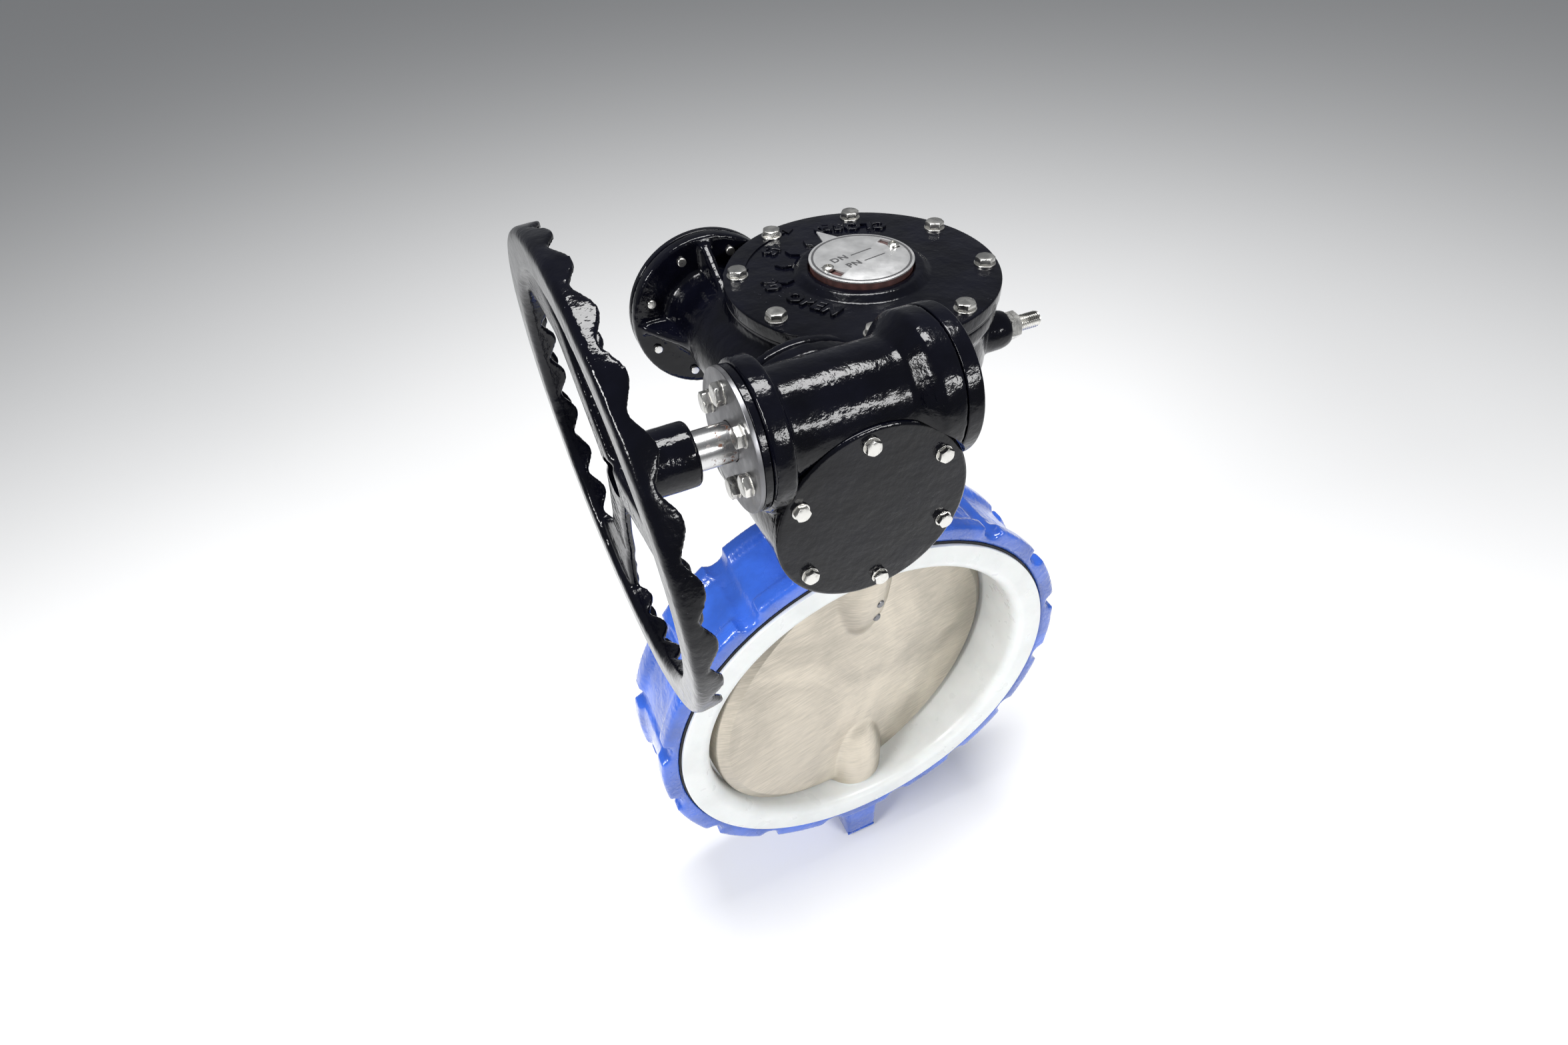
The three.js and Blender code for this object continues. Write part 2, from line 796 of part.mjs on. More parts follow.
// ---------------------------------------------------------------- handwheel
// Channel-section rim: both skirts end in the same waves at the back.
function handwheelRim() {
  const perWave = 4;
  const steps = WAVES * perWave;
  const inner = WHEEL_R - 24;
  const positions = [];
  const rings = [];
  for (let i = 0; i < steps; i += 1) {
    const angle = (i / steps) * 2 * Math.PI;
    const wave = 0.5 + 0.5 * Math.cos(WAVES * angle);
    const back = WHEEL_FRONT + 9 + 7 * wave;
    const section = [
      [inner + 5, WHEEL_FRONT],
      [WHEEL_R - 5, WHEEL_FRONT],
      [WHEEL_R, WHEEL_FRONT + 5],
      [WHEEL_R, back],
      [WHEEL_R - 4, back],
      [WHEEL_R - 5, WHEEL_FRONT + 5],
      [inner + 5, WHEEL_FRONT + 5],
      [inner + 4, back],
      [inner, back],
      [inner, WHEEL_FRONT + 5],
    ];
    rings.push(section.map(([r, x]) => [x, r * Math.cos(angle), r * Math.sin(angle)]));
  }
  const count = rings[0].length;
  for (let i = 0; i < steps; i += 1) {
    const [here, next] = [rings[i], rings[(i + 1) % steps]];
    for (let j = 0; j < count; j += 1) {
      const k = (j + 1) % count;
      positions.push(...here[j], ...next[j], ...next[k]);
      positions.push(...here[j], ...next[k], ...here[k]);
    }
  }
  const geometry = new THREE.BufferGeometry();
  geometry.setAttribute("position", new THREE.Float32BufferAttribute(positions, 3));
  return solid(geometry);
}

// Rim and three broad flat spokes that widen into it, cast slightly askew on a straight hub.
function handwheel() {
  const hub = alongX(
    turned([[0, -254], [18, -254], [21, -246], [21, -207], [19, -205], [0, -205]], 24),
  );
  const parts = [handwheelRim()];
  for (const angle of [55, 175, 295]) {
    const spoke = pushed(
      [[10, 14], [34, 12], [70, 12.5], [100, 17], [126, 32],
        [126, -32], [100, -17], [70, -12.5], [34, -12], [10, -14]],
      -256,
      -250,
    );
    parts.push(spoke.rotate([0, 0, angle]).rotate([90, 0, 90]));
  }
  const leaning = union(...parts).translate([250, 0, 0]).rotate(WHEEL_LEAN);
  let made = leaning.translate([-250, 0, 0]).add(hub).translate([0, INPUT_Y, INPUT_Z]);
  made = made.subtract(alongX(rod(SHAFT_R + GAP, -270, -200, 24), INPUT_Y, INPUT_Z));
  made = made.subtract(
    block(-270, -200, INPUT_Y - 3.3, INPUT_Y + 3.3, INPUT_Z + 5, INPUT_Z + 16.3),
  );
  const screwHole = rod(3.4, 9, 30, 8).rotate([38, 0, 0]);
  return made.subtract(screwHole.translate([-237, INPUT_Y, INPUT_Z]));
}

function handwheelKey() {
  return block(-244, -211, INPUT_Y - 3, INPUT_Y + 3, INPUT_Z + 9.9, INPUT_Z + 15.9);
}

function handwheelSetScrew() {
  const screw = hexBolt(10, 4.5, 2.8, 7).translate([0, 0, 21.3]);
  return screw.rotate([38, 0, 0]).translate([-237, INPUT_Y, INPUT_Z]);
}

// ---------------------------------------------------------------- assembly
const PAINT = {
  blue: ["#2c55c8", 0.05, 0.35],
  black: ["#0d0e14", 0.1, 0.22],
  liner: ["#eceeee", 0, 0.4],
  rubber: ["#1b1b1c", 0, 0.8],
  stainless: ["#a79f93", 0.9, 0.38],
  steel: ["#b9bbbf", 1, 0.3],
  dark: ["#6d6f73", 0.9, 0.45],
  bronze: ["#b08a4a", 0.9, 0.4],
  rust: ["#5b3733", 0.3, 0.6],
  graphite: ["#2f3033", 0.3, 0.7],
};

const root = new THREE.Group();
root.name = "lined_butterfly_valve";

function place(name, made, paint) {
  const mesh = made.getMesh();
  const geometry = new THREE.BufferGeometry();
  const positions = new Float32Array(mesh.vertProperties);
  geometry.setAttribute("position", new THREE.BufferAttribute(positions, 3));
  geometry.setIndex(new THREE.BufferAttribute(new Uint32Array(mesh.triVerts), 1));
  const flat = geometry.toNonIndexed();
  flat.computeVertexNormals();
  const [color, metalness, roughness] = PAINT[paint];
  const material = new THREE.MeshStandardMaterial({ color, metalness, roughness });
  const node = new THREE.Mesh(flat, material);
  node.name = name;
  root.add(node);
}

place("body", body(), "blue");
place("seat_backing_ring", seatBackingRing(), "rubber");
place("seat_liner", seatLiner(), "liner");
place("disc", disc(), "stainless");
place("stem", stem(), "steel");
place("lower_stub_shaft", lowerStub(), "steel");
place("upper_bush", upperBush(), "bronze");
place("lower_bush", lowerBush(), "bronze");
place("stem_packing", stemPacking(), "graphite");
place("packing_gland", packingGland(), "dark");
place("bottom_cover", bottomCover(), "blue");
place("disc_pin_upper", discPin(150), "steel");
place("disc_pin_lower", discPin(124), "steel");

place("gearbox_housing", gearboxHousing(), "black");
place("cover_gasket", coverGasket(), "graphite");
place("gearbox_cover", gearboxCover(), "black");
place("worm_quadrant", wormQuadrant(), "bronze");
place("stem_key", stemKey(), "steel");
place("indicator_hub", indicatorHub(), "rust");
place("indicator_plate", indicatorPlate(), "steel");
place("indicator_screw_1", indicatorScrew(0), "steel");
place("indicator_screw_2", indicatorScrew(180), "steel");
place("cross_shaft", crossShaft(), "dark");
place("cross_bearing_front", alongY(bearing(15 + GAP, 29.7, -95.7, -79.3), CROSS_X, QUAD_Z), "steel");
place("cross_bearing_rear", alongY(bearing(13 + GAP, 29.7, 93.3, 110), CROSS_X, QUAD_Z), "steel");
place("rear_end_cover", rearEndCover(), "black");
place("closed_stop_screw", stopScrew(1), "steel");
place("open_stop_screw", stopScrew(-1), "steel");
place("closed_stop_nut", stopNut(1), "steel");
place("open_stop_nut", stopNut(-1), "steel");
for (let k = 0; k < 8; k += 1) place(`cover_bolt_${k + 1}`, coverBolt(k), "steel");
for (let k = 0; k < 4; k += 1) place(`mount_bolt_${k + 1}`, mountBolt(k), "steel");

place("reducer_housing", reducerHousing(), "black");
place("reducer_cover", reducerCover(), "black");
for (let k = 0; k < 6; k += 1) place(`reducer_cover_bolt_${k + 1}`, reducerCoverBolt(k), "steel");
place("worm_wheel", wormWheel(), "bronze");
place("input_shaft", inputShaft(), "steel");
place("input_bearing_left", inputBearing(-169.6, -155.3), "steel");
place("input_bearing_right", inputBearing(-55.7, -41.4), "steel");
place("input_bearing_cover", inputBearingCover(), "black");
place("retainer_plate", retainerPlate(), "steel");
place("input_end_cap", inputEndCap(), "black");

place("handwheel", handwheel(), "black");
place("handwheel_key", handwheelKey(), "steel");
place("handwheel_set_screw", handwheelSetScrew(), "steel");

export default root;
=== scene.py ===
import json
import math

import bmesh
import bpy
import numpy as np
from mathutils import Matrix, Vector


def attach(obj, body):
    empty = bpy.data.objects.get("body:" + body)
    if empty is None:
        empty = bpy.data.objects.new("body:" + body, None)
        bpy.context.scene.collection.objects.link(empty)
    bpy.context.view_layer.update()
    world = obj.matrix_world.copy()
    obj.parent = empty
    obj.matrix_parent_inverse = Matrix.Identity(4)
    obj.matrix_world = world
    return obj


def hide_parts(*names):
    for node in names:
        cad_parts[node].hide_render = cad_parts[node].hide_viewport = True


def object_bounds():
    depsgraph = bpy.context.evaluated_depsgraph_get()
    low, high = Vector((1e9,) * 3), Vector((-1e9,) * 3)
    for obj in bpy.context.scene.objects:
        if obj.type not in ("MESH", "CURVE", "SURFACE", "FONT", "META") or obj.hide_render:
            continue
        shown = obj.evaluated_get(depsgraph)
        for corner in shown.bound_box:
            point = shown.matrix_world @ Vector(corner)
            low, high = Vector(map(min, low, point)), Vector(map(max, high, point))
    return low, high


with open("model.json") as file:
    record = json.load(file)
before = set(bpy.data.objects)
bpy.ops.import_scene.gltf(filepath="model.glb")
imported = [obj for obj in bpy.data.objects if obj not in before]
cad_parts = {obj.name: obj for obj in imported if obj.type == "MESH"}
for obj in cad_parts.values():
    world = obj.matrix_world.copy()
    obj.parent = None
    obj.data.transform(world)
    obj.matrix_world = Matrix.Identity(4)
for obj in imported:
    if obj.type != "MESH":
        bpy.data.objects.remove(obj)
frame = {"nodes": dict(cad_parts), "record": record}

# Lined wafer butterfly valve with a two-stage worm gear operator and a handwheel.
# Sizes here are in millimetres, in the frame of the CAD; a mesh is scaled to metres as it is made.

bl_info = {
    "name": "Lined butterfly valve with gear operator",
    "version": (1, 0, 0),
    "blender": (4, 5, 0),
    "location": "View3D > Sidebar > Valve",
    "description": "Builds the smooth pieces, finishes and stage of a gear operated butterfly valve",
    "category": "Object",
}

CAD_BOX = [[float(v) for v in corner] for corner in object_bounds()]
TAU = 2 * math.pi

# ------------------------------------------------------------------ sizes shared with the CAD
OPEN_AT_REST = 10.0
BODY_R, BODY_HALF = 257.0, 51.0
TOP_FLANGE_R, TOP_FLANGE_Z = 105.0, 404.0
CROSS_X, QUAD_Z = -98.0, 462.0
COVER_R, COVER_TOP, COVER_BOLT_R = 112.0, 522.0, 100.0
STOP_Y = 47.0
INPUT_Y, INPUT_Z = -164.0, 524.0
DRUM_R, DRUM_FRONT, DRUM_BACK, DRUM_BOLT_R = 70.0, -198.0, -96.3, 60.0
SHAFT_R, PLATE_X, PLATE_R, COLLAR_R = 13.0, -180.0, 47.3, 52.0
WHEEL_FRONT, WHEEL_PIVOT_X = -265.0, -250.0
WHEEL_LEAN = ((-2.4, "Y"), (1.7, "Z"))
SPOKE_ANGLES = (55, 175, 295)
BODY_BORE_R, RECESS_R, NOTCHES = 213.3, 237.5, 16
STEM_R = 20
POINTER_TOP = 533.2
ARROW_R = 96


# ------------------------------------------------------------------ surfaces
def grid(points, close_u=False, close_v=True):
    """Quads between neighbours of a (rows, columns, 3) grid; a closed direction joins its last line to its first."""
    rows, columns = points.shape[:2]
    index = np.arange(rows * columns).reshape(rows, columns)
    down = np.roll(index, -1, 0)
    quads = np.stack([index, down, np.roll(down, -1, 1), np.roll(index, -1, 1)], -1)
    quads = quads if close_u else quads[:-1]
    quads = quads if close_v else quads[:, :-1]
    return points.reshape(-1, 3), quads.reshape(-1, 4)


def capped(rows):
    """The rows with one more at each end, drawn together at the middle of the end row."""
    first = rows[:1].mean(1, keepdims=True) + 0 * rows[:1]
    last = rows[-1:].mean(1, keepdims=True) + 0 * rows[:1]
    return np.concatenate([first, rows, last])


def softened(profile, radius, steps=4):
    """A closed profile whose every corner off the axis is a parabola that starts and ends `radius` from it."""
    corner = np.asarray(profile, float)
    before, after = np.roll(corner, 1, 0) - corner, np.roll(corner, -1, 0) - corner
    size_b = np.linalg.norm(before, axis=1, keepdims=True)
    size_a = np.linalg.norm(after, axis=1, keepdims=True)
    reach = np.where(corner[:, :1] < 1e-6, 0.0, radius)
    start = corner + before * np.minimum(reach / size_b, 0.45)
    end = corner + after * np.minimum(reach / size_a, 0.45)
    t = np.linspace(0, 1, steps + 1)[None, :, None]
    curve = (1 - t) ** 2 * start[:, None] + 2 * t * (1 - t) * corner[:, None] + t**2 * end[:, None]
    return curve.reshape(-1, 2)


def finely(profile, step):
    """The closed profile with each long side split into equal parts no longer than `step`."""
    a = np.asarray(profile, float)
    b = np.roll(a, -1, 0)
    count = np.maximum(1, np.ceil(np.linalg.norm(b - a, axis=1) / step).astype(int))
    side = np.repeat(np.arange(len(a)), count)
    first = np.cumsum(count) - count
    part = (np.arange(count.sum()) - first[side]) / count[side]
    return a[side] + (b - a)[side] * part[:, None]


def lathe(profile, radius=0.6, columns=128, step=12.0):
    """Surface of revolution: (r cos a, r sin a, h) for a closed profile of (r, h) with softened corners."""
    line = finely(softened(profile, radius), step)
    angle = np.arange(columns) / columns * TAU
    r, h = line[:, :1], line[:, 1:]
    ones = np.ones_like(angle)
    return grid(np.stack([r * np.cos(angle), r * np.sin(angle), h * ones], -1), close_u=True)


def rod(r, low, high, radius=0.6, columns=64):
    return lathe([[0, low], [r, low], [r, high], [0, high]], radius, columns)


def prism(outline, low, high, radius=1.5):
    """Outline of (x, y) points carried straight from z low to z high; each end closes on the outline's middle."""
    line = finely(softened(outline, radius), 8.0)
    middle = line.mean(0)
    rim = min(radius, (high - low) / 3)
    inner = middle + (line - middle) * (1 - rim / np.abs(line - middle).max())
    rows = [(middle + 0 * line, low), (inner, low), (line, low + rim), (line, high - rim), (inner, high)]
    rows.append((middle + 0 * line, high))
    points = np.stack([np.column_stack([xy, np.full(len(xy), z)]) for xy, z in rows])
    return grid(points)


def hexagon(across, height, turn=0.0, columns=96):
    """Hexagonal head: radius = half width over flats / cos(angle from the flat's middle), corners cut by a cone."""
    angle = np.arange(columns) / columns * TAU
    flat = (angle + math.pi / 6) % (math.pi / 3) - math.pi / 6
    edge = across / 2 / np.cos(flat)
    top = across / 2 * 0.96
    drop = height - np.maximum(edge - top, 0) * 0.6
    zero = 0 * angle
    rows = [(zero, zero), (edge * 0.98, zero), (edge, zero + 0.25), (edge, drop - 0.1), (edge * 0.985, drop + 0.1)]
    rows += [(zero + top, zero + height), (zero + top * 0.5, zero + height + 0.08), (zero, zero + height + 0.1)]
    spin = angle + turn
    return grid(np.stack([np.stack([r * np.cos(spin), r * np.sin(spin), z], -1) for r, z in rows]))


def threaded(r, low, high, pitch, columns=48):
    """Screw thread: the radius falls along a triangle wave that climbs a pitch each turn, and fades at the ends."""
    angle = np.arange(columns) / columns * TAU
    z = np.arange(low, high + pitch / 16, pitch / 8)
    phase = (z[:, None] / pitch - angle / TAU) % 1
    fade = np.clip(np.minimum(z - low, high - z) / pitch, 0, 1)[:, None]
    radius = r - 0.3 * pitch - 0.3 * pitch * (np.abs(phase * 4 - 2) - 1) * fade
    ends = [np.zeros_like(radius[:1]), radius, np.zeros_like(radius[:1])]
    radius = np.concatenate(ends)
    z = np.concatenate([[low], z, [high]])[:, None] + 0 * angle
    return grid(np.stack([radius * np.cos(angle), radius * np.sin(angle), z], -1))


def moved(shape, x=0.0, y=0.0, z=0.0):
    return shape[0] + np.array([x, y, z]), shape[1]


def turned(shape, degrees, axis="Z"):
    """The shape turned about one axis through the origin."""
    spin = np.array(Matrix.Rotation(math.radians(degrees), 3, axis))
    return shape[0] @ spin.T, shape[1]


def along_y(shape, x=CROSS_X, z=QUAD_Z):
    """A shape made about Z, laid along +Y."""
    return moved(turned(shape, -90, "X"), x, 0, z)


def along_x(shape, y=INPUT_Y, z=INPUT_Z):
    """A shape made about Z, laid along +X."""
    return moved(turned(shape, 90, "Y"), 0, y, z)


def polar(r, degrees):
    return r * math.cos(math.radians(degrees)), r * math.sin(math.radians(degrees))


def joined(shapes):
    starts = np.cumsum([0] + [len(v) for v, _ in shapes[:-1]])
    verts = np.concatenate([v for v, _ in shapes])
    faces = np.concatenate([f + start for (_, f), start in zip(shapes, starts)])
    return verts, faces


def mesh_of(name, shapes):
    """One mesh in metres: poles and seams merged, empty faces dropped, normals out."""
    verts, faces = joined(shapes)
    mesh = bpy.data.meshes.new(name)
    mesh.from_pydata((verts / 1000).tolist(), [], faces.tolist())
    work = bmesh.new()
    work.from_mesh(mesh)
    bmesh.ops.remove_doubles(work, verts=work.verts, dist=2e-6)
    bmesh.ops.dissolve_degenerate(work, edges=work.edges, dist=1e-6)
    bmesh.ops.recalc_face_normals(work, faces=work.faces)
    work.to_mesh(mesh)
    work.free()
    return mesh


def baked(obj):
    """Replaces the object's mesh with the result of its modifiers."""
    evaluated = obj.evaluated_get(bpy.context.evaluated_depsgraph_get())
    mesh = bpy.data.meshes.new_from_object(evaluated)
    obj.modifiers.clear()
    obj.data = mesh


def fused(obj, voxel, rounds):
    """Overlapping castings become one skin of small quads, and smoothing gives it the fillets of a casting."""
    remesh = obj.modifiers.new("Skin", "REMESH")
    remesh.mode = "VOXEL"
    remesh.voxel_size = voxel / 1000
    relax = obj.modifiers.new("Fillets", "SMOOTH")
    relax.factor = 0.5
    relax.iterations = rounds
    baked(obj)


def bored(obj, shapes):
    """Cuts the closed shapes out of the object, one after another."""
    for shape in shapes:
        cutter = bpy.data.objects.new("cutter", mesh_of("cutter", [shape]))
        bpy.context.scene.collection.objects.link(cutter)
        modifier = obj.modifiers.new("Cut", "BOOLEAN")
        modifier.operation = "DIFFERENCE"
        modifier.solver = "EXACT"
        modifier.object = cutter
        baked(obj)
        bpy.data.objects.remove(cutter)


def piece(name, shapes, finish, body="housing", stands_for=(), fuse=None, cuts=(), sharp=38):
    """One finished object: mesh, finish, shading, the body it moves with and the CAD nodes it stands for."""
    obj = bpy.data.objects.new(name, mesh_of(name, shapes))
    bpy.context.scene.collection.objects.link(obj)
    if fuse:
        fused(obj, *fuse)
    if cuts:
        bored(obj, cuts)
    obj.data.name = name
    obj.data.materials.clear()
    obj.data.materials.append(finish_named(finish))
    obj.data.polygons.foreach_set("use_smooth", np.ones(len(obj.data.polygons), bool))
    obj.data.set_sharp_from_angle(angle=math.radians(sharp))
    obj.data.update()
    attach(obj, body)
    if stands_for:
        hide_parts(*([stands_for] if isinstance(stands_for, str) else stands_for))
    return obj


def lettering(name, words, finish, size, top, proud=0.9, body="housing"):
    """Raised characters on a level face. words: (text, radius, degrees, facing) with facing the reading turn."""
    meshes = []
    for text, radius, degrees, facing in words:
        curve = bpy.data.curves.new(name, "FONT")
        curve.body = text
        curve.size = size / 1000
        curve.extrude = proud / 1000
        curve.bevel_depth = proud / 3000
        curve.bevel_resolution = 1
        curve.offset = size / 40000
        curve.align_x = "CENTER"
        curve.align_y = "CENTER"
        curve.space_character = 1.15
        curve.resolution_u = 4
        holder = bpy.data.objects.new(name, curve)
        bpy.context.scene.collection.objects.link(holder)
        mesh = bpy.data.meshes.new_from_object(holder.evaluated_get(bpy.context.evaluated_depsgraph_get()))
        bpy.data.objects.remove(holder)
        x, y = polar(radius, degrees)
        place = Matrix.Translation((x / 1000, y / 1000, top / 1000))
        mesh.transform(place @ Matrix.Rotation(math.radians(facing), 4, "Z"))
        meshes.append(mesh)
    work = bmesh.new()
    for mesh in meshes:
        work.from_mesh(mesh)
    bmesh.ops.remove_doubles(work, verts=work.verts, dist=1e-6)
    whole = bpy.data.meshes.new(name)
    work.to_mesh(whole)
    work.free()
    obj = bpy.data.objects.new(name, whole)
    bpy.context.scene.collection.objects.link(obj)
    whole.materials.clear()
    whole.materials.append(finish_named(finish))
    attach(obj, body)
    return obj


# ------------------------------------------------------------------ finishes
SLOTS = {
    "blue enamel": "blue_paint",
    "black enamel": "black_paint",
    "lining plastic": "ptfe",
    "rubber": "black_rubber",
    "disc steel": "stainless",
    "zinc steel": "bright_steel",
    "plate steel": "bright_steel",
    "shaft steel": "bright_steel",
    "dark steel": "dark_steel",
    "bronze": "bronze",
    "graphite": "graphite",
    "red primer": "red_primer",
}


class Finish:
    """A material with object coordinates, and short ways to add the nodes that these finishes share."""

    def __init__(self, name, base, rough, metal=0.0, **sockets):
        self.material = bpy.data.materials.new(name)
        self.material.use_nodes = True
        self.nodes = self.material.node_tree.nodes
        self.links = self.material.node_tree.links
        self.shader = self.nodes["Principled BSDF"]
        self.shader.inputs["Base Color"].default_value = (*base, 1)
        self.shader.inputs["Roughness"].default_value = rough
        self.shader.inputs["Metallic"].default_value = metal
        for label, value in sockets.items():
            self.shader.inputs[label.replace("_", " ")].default_value = value
        self.place = self.nodes.new("ShaderNodeTexCoord").outputs["Object"]
        self.heights = []

    def put(self, socket, value):
        if isinstance(value, (int, float)):
            socket.default_value = value
        elif isinstance(value, tuple):
            socket.default_value = (*value, 1) if len(value) == 3 else value
        else:
            self.links.new(value, socket)

    def noise(self, scale, detail=3.0, rough=0.5, stretch=(1.0, 1.0, 1.0), warp=0.0):
        """Fractal noise; scale is in lumps per metre, and stretch lengthens the lumps' count along an axis."""
        spread = self.nodes.new("ShaderNodeMapping")
        spread.inputs["Scale"].default_value = stretch
        self.links.new(self.place, spread.inputs["Vector"])
        made = self.nodes.new("ShaderNodeTexNoise")
        for label, value in (("Scale", scale), ("Detail", detail), ("Roughness", rough), ("Distortion", warp)):
            made.inputs[label].default_value = value
        self.links.new(spread.outputs["Vector"], made.inputs["Vector"])
        return made.outputs["Fac"]

    def dots(self, scale):
        made = self.nodes.new("ShaderNodeTexVoronoi")
        made.inputs["Scale"].default_value = scale
        self.links.new(self.place, made.inputs["Vector"])
        return made.outputs["Distance"]

    def between(self, value, low, high, out_low=0.0, out_high=1.0):
        made = self.nodes.new("ShaderNodeMapRange")
        made.interpolation_type = "SMOOTHSTEP"
        for label, number in zip(("From Min", "From Max", "To Min", "To Max"), (low, high, out_low, out_high)):
            made.inputs[label].default_value = number
        self.put(made.inputs["Value"], value)
        return made.outputs["Result"]

    def sums(self, kind, a, b):
        made = self.nodes.new("ShaderNodeMath")
        made.operation = kind
        self.put(made.inputs[0], a)
        self.put(made.inputs[1], b)
        return made.outputs["Value"]

    def axis(self, label):
        made = self.nodes.new("ShaderNodeSeparateXYZ")
        self.links.new(self.place, made.inputs["Vector"])
        return made.outputs[label]

    def mixed(self, share, a, b):
        made = self.nodes.new("ShaderNodeMix")
        made.data_type = "RGBA"
        self.put(made.inputs["Factor"], share)
        for label, value in (("A_Color", a), ("B_Color", b)):
            self.put(next(s for s in made.inputs if s.identifier == label), value)
        return next(s for s in made.outputs if s.identifier == "Result_Color")

    def color(self, value):
        self.put(self.shader.inputs["Base Color"], value)

    def rough(self, value):
        self.put(self.shader.inputs["Roughness"], value)

    def bump(self, height, depth_mm, strength=1.0):
        """Adds one more layer of relief, its depth in millimetres."""
        made = self.nodes.new("ShaderNodeBump")
        made.inputs["Distance"].default_value = depth_mm / 1000
        made.inputs["Strength"].default_value = strength
        self.put(made.inputs["Height"], height)
        if self.heights:
            self.links.new(self.heights[-1], made.inputs["Normal"])
        self.heights.append(made.outputs["Normal"])
        self.links.new(made.outputs["Normal"], self.shader.inputs["Normal"])
        if "Coat Normal" in self.shader.inputs and self.shader.inputs["Coat Weight"].default_value > 0:
            self.links.new(made.outputs["Normal"], self.shader.inputs["Coat Normal"])


def black_enamel(colors):
    made = Finish("black_enamel", colors.black, 0.2, Coat_Weight=0.12, Coat_Roughness=0.03, Specular_IOR_Level=0.2)
    base = tuple(colors.black)
    lumps = made.noise(30, 4, 0.55)
    paint = made.mixed(made.between(lumps, 0.35, 0.7), base, tuple(v * 1.9 for v in base))
    dust = made.between(made.dots(260), 0.05, 0.09, 1.0, 0.0)
    dust = made.sums("MULTIPLY", dust, made.between(made.noise(14, 2), 0.55, 0.7))
    made.color(made.mixed(made.sums("MULTIPLY", dust, 0.35), paint, (0.25, 0.26, 0.3)))
    made.rough(made.between(made.noise(9, 4, 0.6), 0.3, 0.75, 0.08, 0.24))
    made.bump(made.noise(38, 3, 0.5), 1.5)
    made.bump(made.noise(160, 3, 0.6), 0.4)
    made.bump(made.noise(900, 2, 0.5), 0.03)
    return made.material


def blue_enamel(colors):
    made = Finish("blue_enamel", colors.blue, 0.25, Coat_Weight=0.7, Coat_Roughness=0.05)
    base = tuple(colors.blue)
    low, high = (tuple(v * share for v in base) for share in (0.72, 1.2))
    tone = made.mixed(made.between(made.noise(16, 4), 0.3, 0.7), low, high)
    scuff = made.between(made.noise(210, 5, 0.75, warp=1.5), 0.64, 0.7)
    scuff = made.sums("MULTIPLY", scuff, made.between(made.noise(11, 3), 0.5, 0.62))
    made.color(made.mixed(made.sums("MULTIPLY", scuff, 0.55), tone, (0.5, 0.58, 0.8)))
    made.rough(made.between(made.noise(22, 4), 0.3, 0.75, 0.16, 0.38))
    made.bump(made.noise(30, 3, 0.5), 1.6)
    made.bump(made.noise(120, 4, 0.6), 0.9)
    made.bump(made.noise(700, 2, 0.5), 0.04)
    return made.material


def lining_plastic(colors):
    made = Finish("lining_plastic", colors.lining, 0.34, Subsurface_Weight=0.08, Subsurface_Scale=0.004)
    base = tuple(colors.lining)
    haze = made.between(made.noise(18, 4, 0.6), 0.35, 0.75)
    made.color(made.mixed(haze, base, tuple(v * 0.9 for v in base)))
    made.rough(made.between(made.noise(40, 3), 0.3, 0.7, 0.26, 0.44))
    made.bump(made.noise(60, 3), 0.25)
    made.bump(made.noise(600, 2, stretch=(1, 6, 1)), 0.02)
    return made.material


def disc_steel(colors):
    made = Finish("disc_steel", colors.disc, 0.4, 1.0)
    base = tuple(colors.disc)
    # Painted sheen and shade: broad clouds make the colour lighter and darker over large areas in place of
    # reflections. The fine stretched streaks are the real brushed grain.
    painted_sheen_cloud = made.noise(5, 5, 0.6, warp=0.9)
    brushed = made.noise(130, 4, 0.65, stretch=(0.25, 1, 5))
    sheen_and_grain = made.sums("ADD", made.sums("MULTIPLY", painted_sheen_cloud, 0.65), made.sums("MULTIPLY", brushed, 0.35))
    low, high = (tuple(v * share for v in base) for share in (0.62, 1.12))
    made.color(made.mixed(made.between(sheen_and_grain, 0.35, 0.65), low, high))
    made.rough(made.between(sheen_and_grain, 0.3, 0.7, 0.3, 0.48))
    made.bump(made.noise(900, 3, 0.6, stretch=(0.15, 1, 4)), 0.03)
    made.bump(made.noise(30, 2), 0.2)
    return made.material


def plain_steel(name, base, low, high, scratches=0.02, dirt=(0.2, 0.19, 0.17)):
    """Bright metal with a cloudy roughness, fine scratches and a little dirt in its lows."""
    made = Finish(name, base, low, 1.0)
    stain = made.between(made.noise(120, 4, 0.7), 0.55, 0.75)
    made.color(made.mixed(made.sums("MULTIPLY", stain, 0.4), tuple(base), dirt))
    made.rough(made.between(made.noise(70, 4, 0.6), 0.3, 0.7, low, high))
    made.bump(made.noise(1600, 2, 0.5, stretch=(1, 1, 6)), scratches)
    return made.material


def zinc_steel(colors):
    return plain_steel("zinc_steel", colors.zinc, 0.2, 0.38)


def plate_steel(colors):
    made = Finish("plate_steel", colors.plate, 0.3, 0.75)
    smear = made.between(made.noise(45, 4, 0.65, warp=0.8), 0.4, 0.7)
    made.color(made.mixed(smear, tuple(colors.plate), tuple(v * 0.85 for v in colors.plate)))
    made.rough(made.between(made.noise(60, 3), 0.3, 0.7, 0.3, 0.42))
    made.bump(made.noise(90, 2), 0.12)
    made.bump(made.noise(1800, 2, stretch=(1, 8, 1)), 0.01)
    return made.material


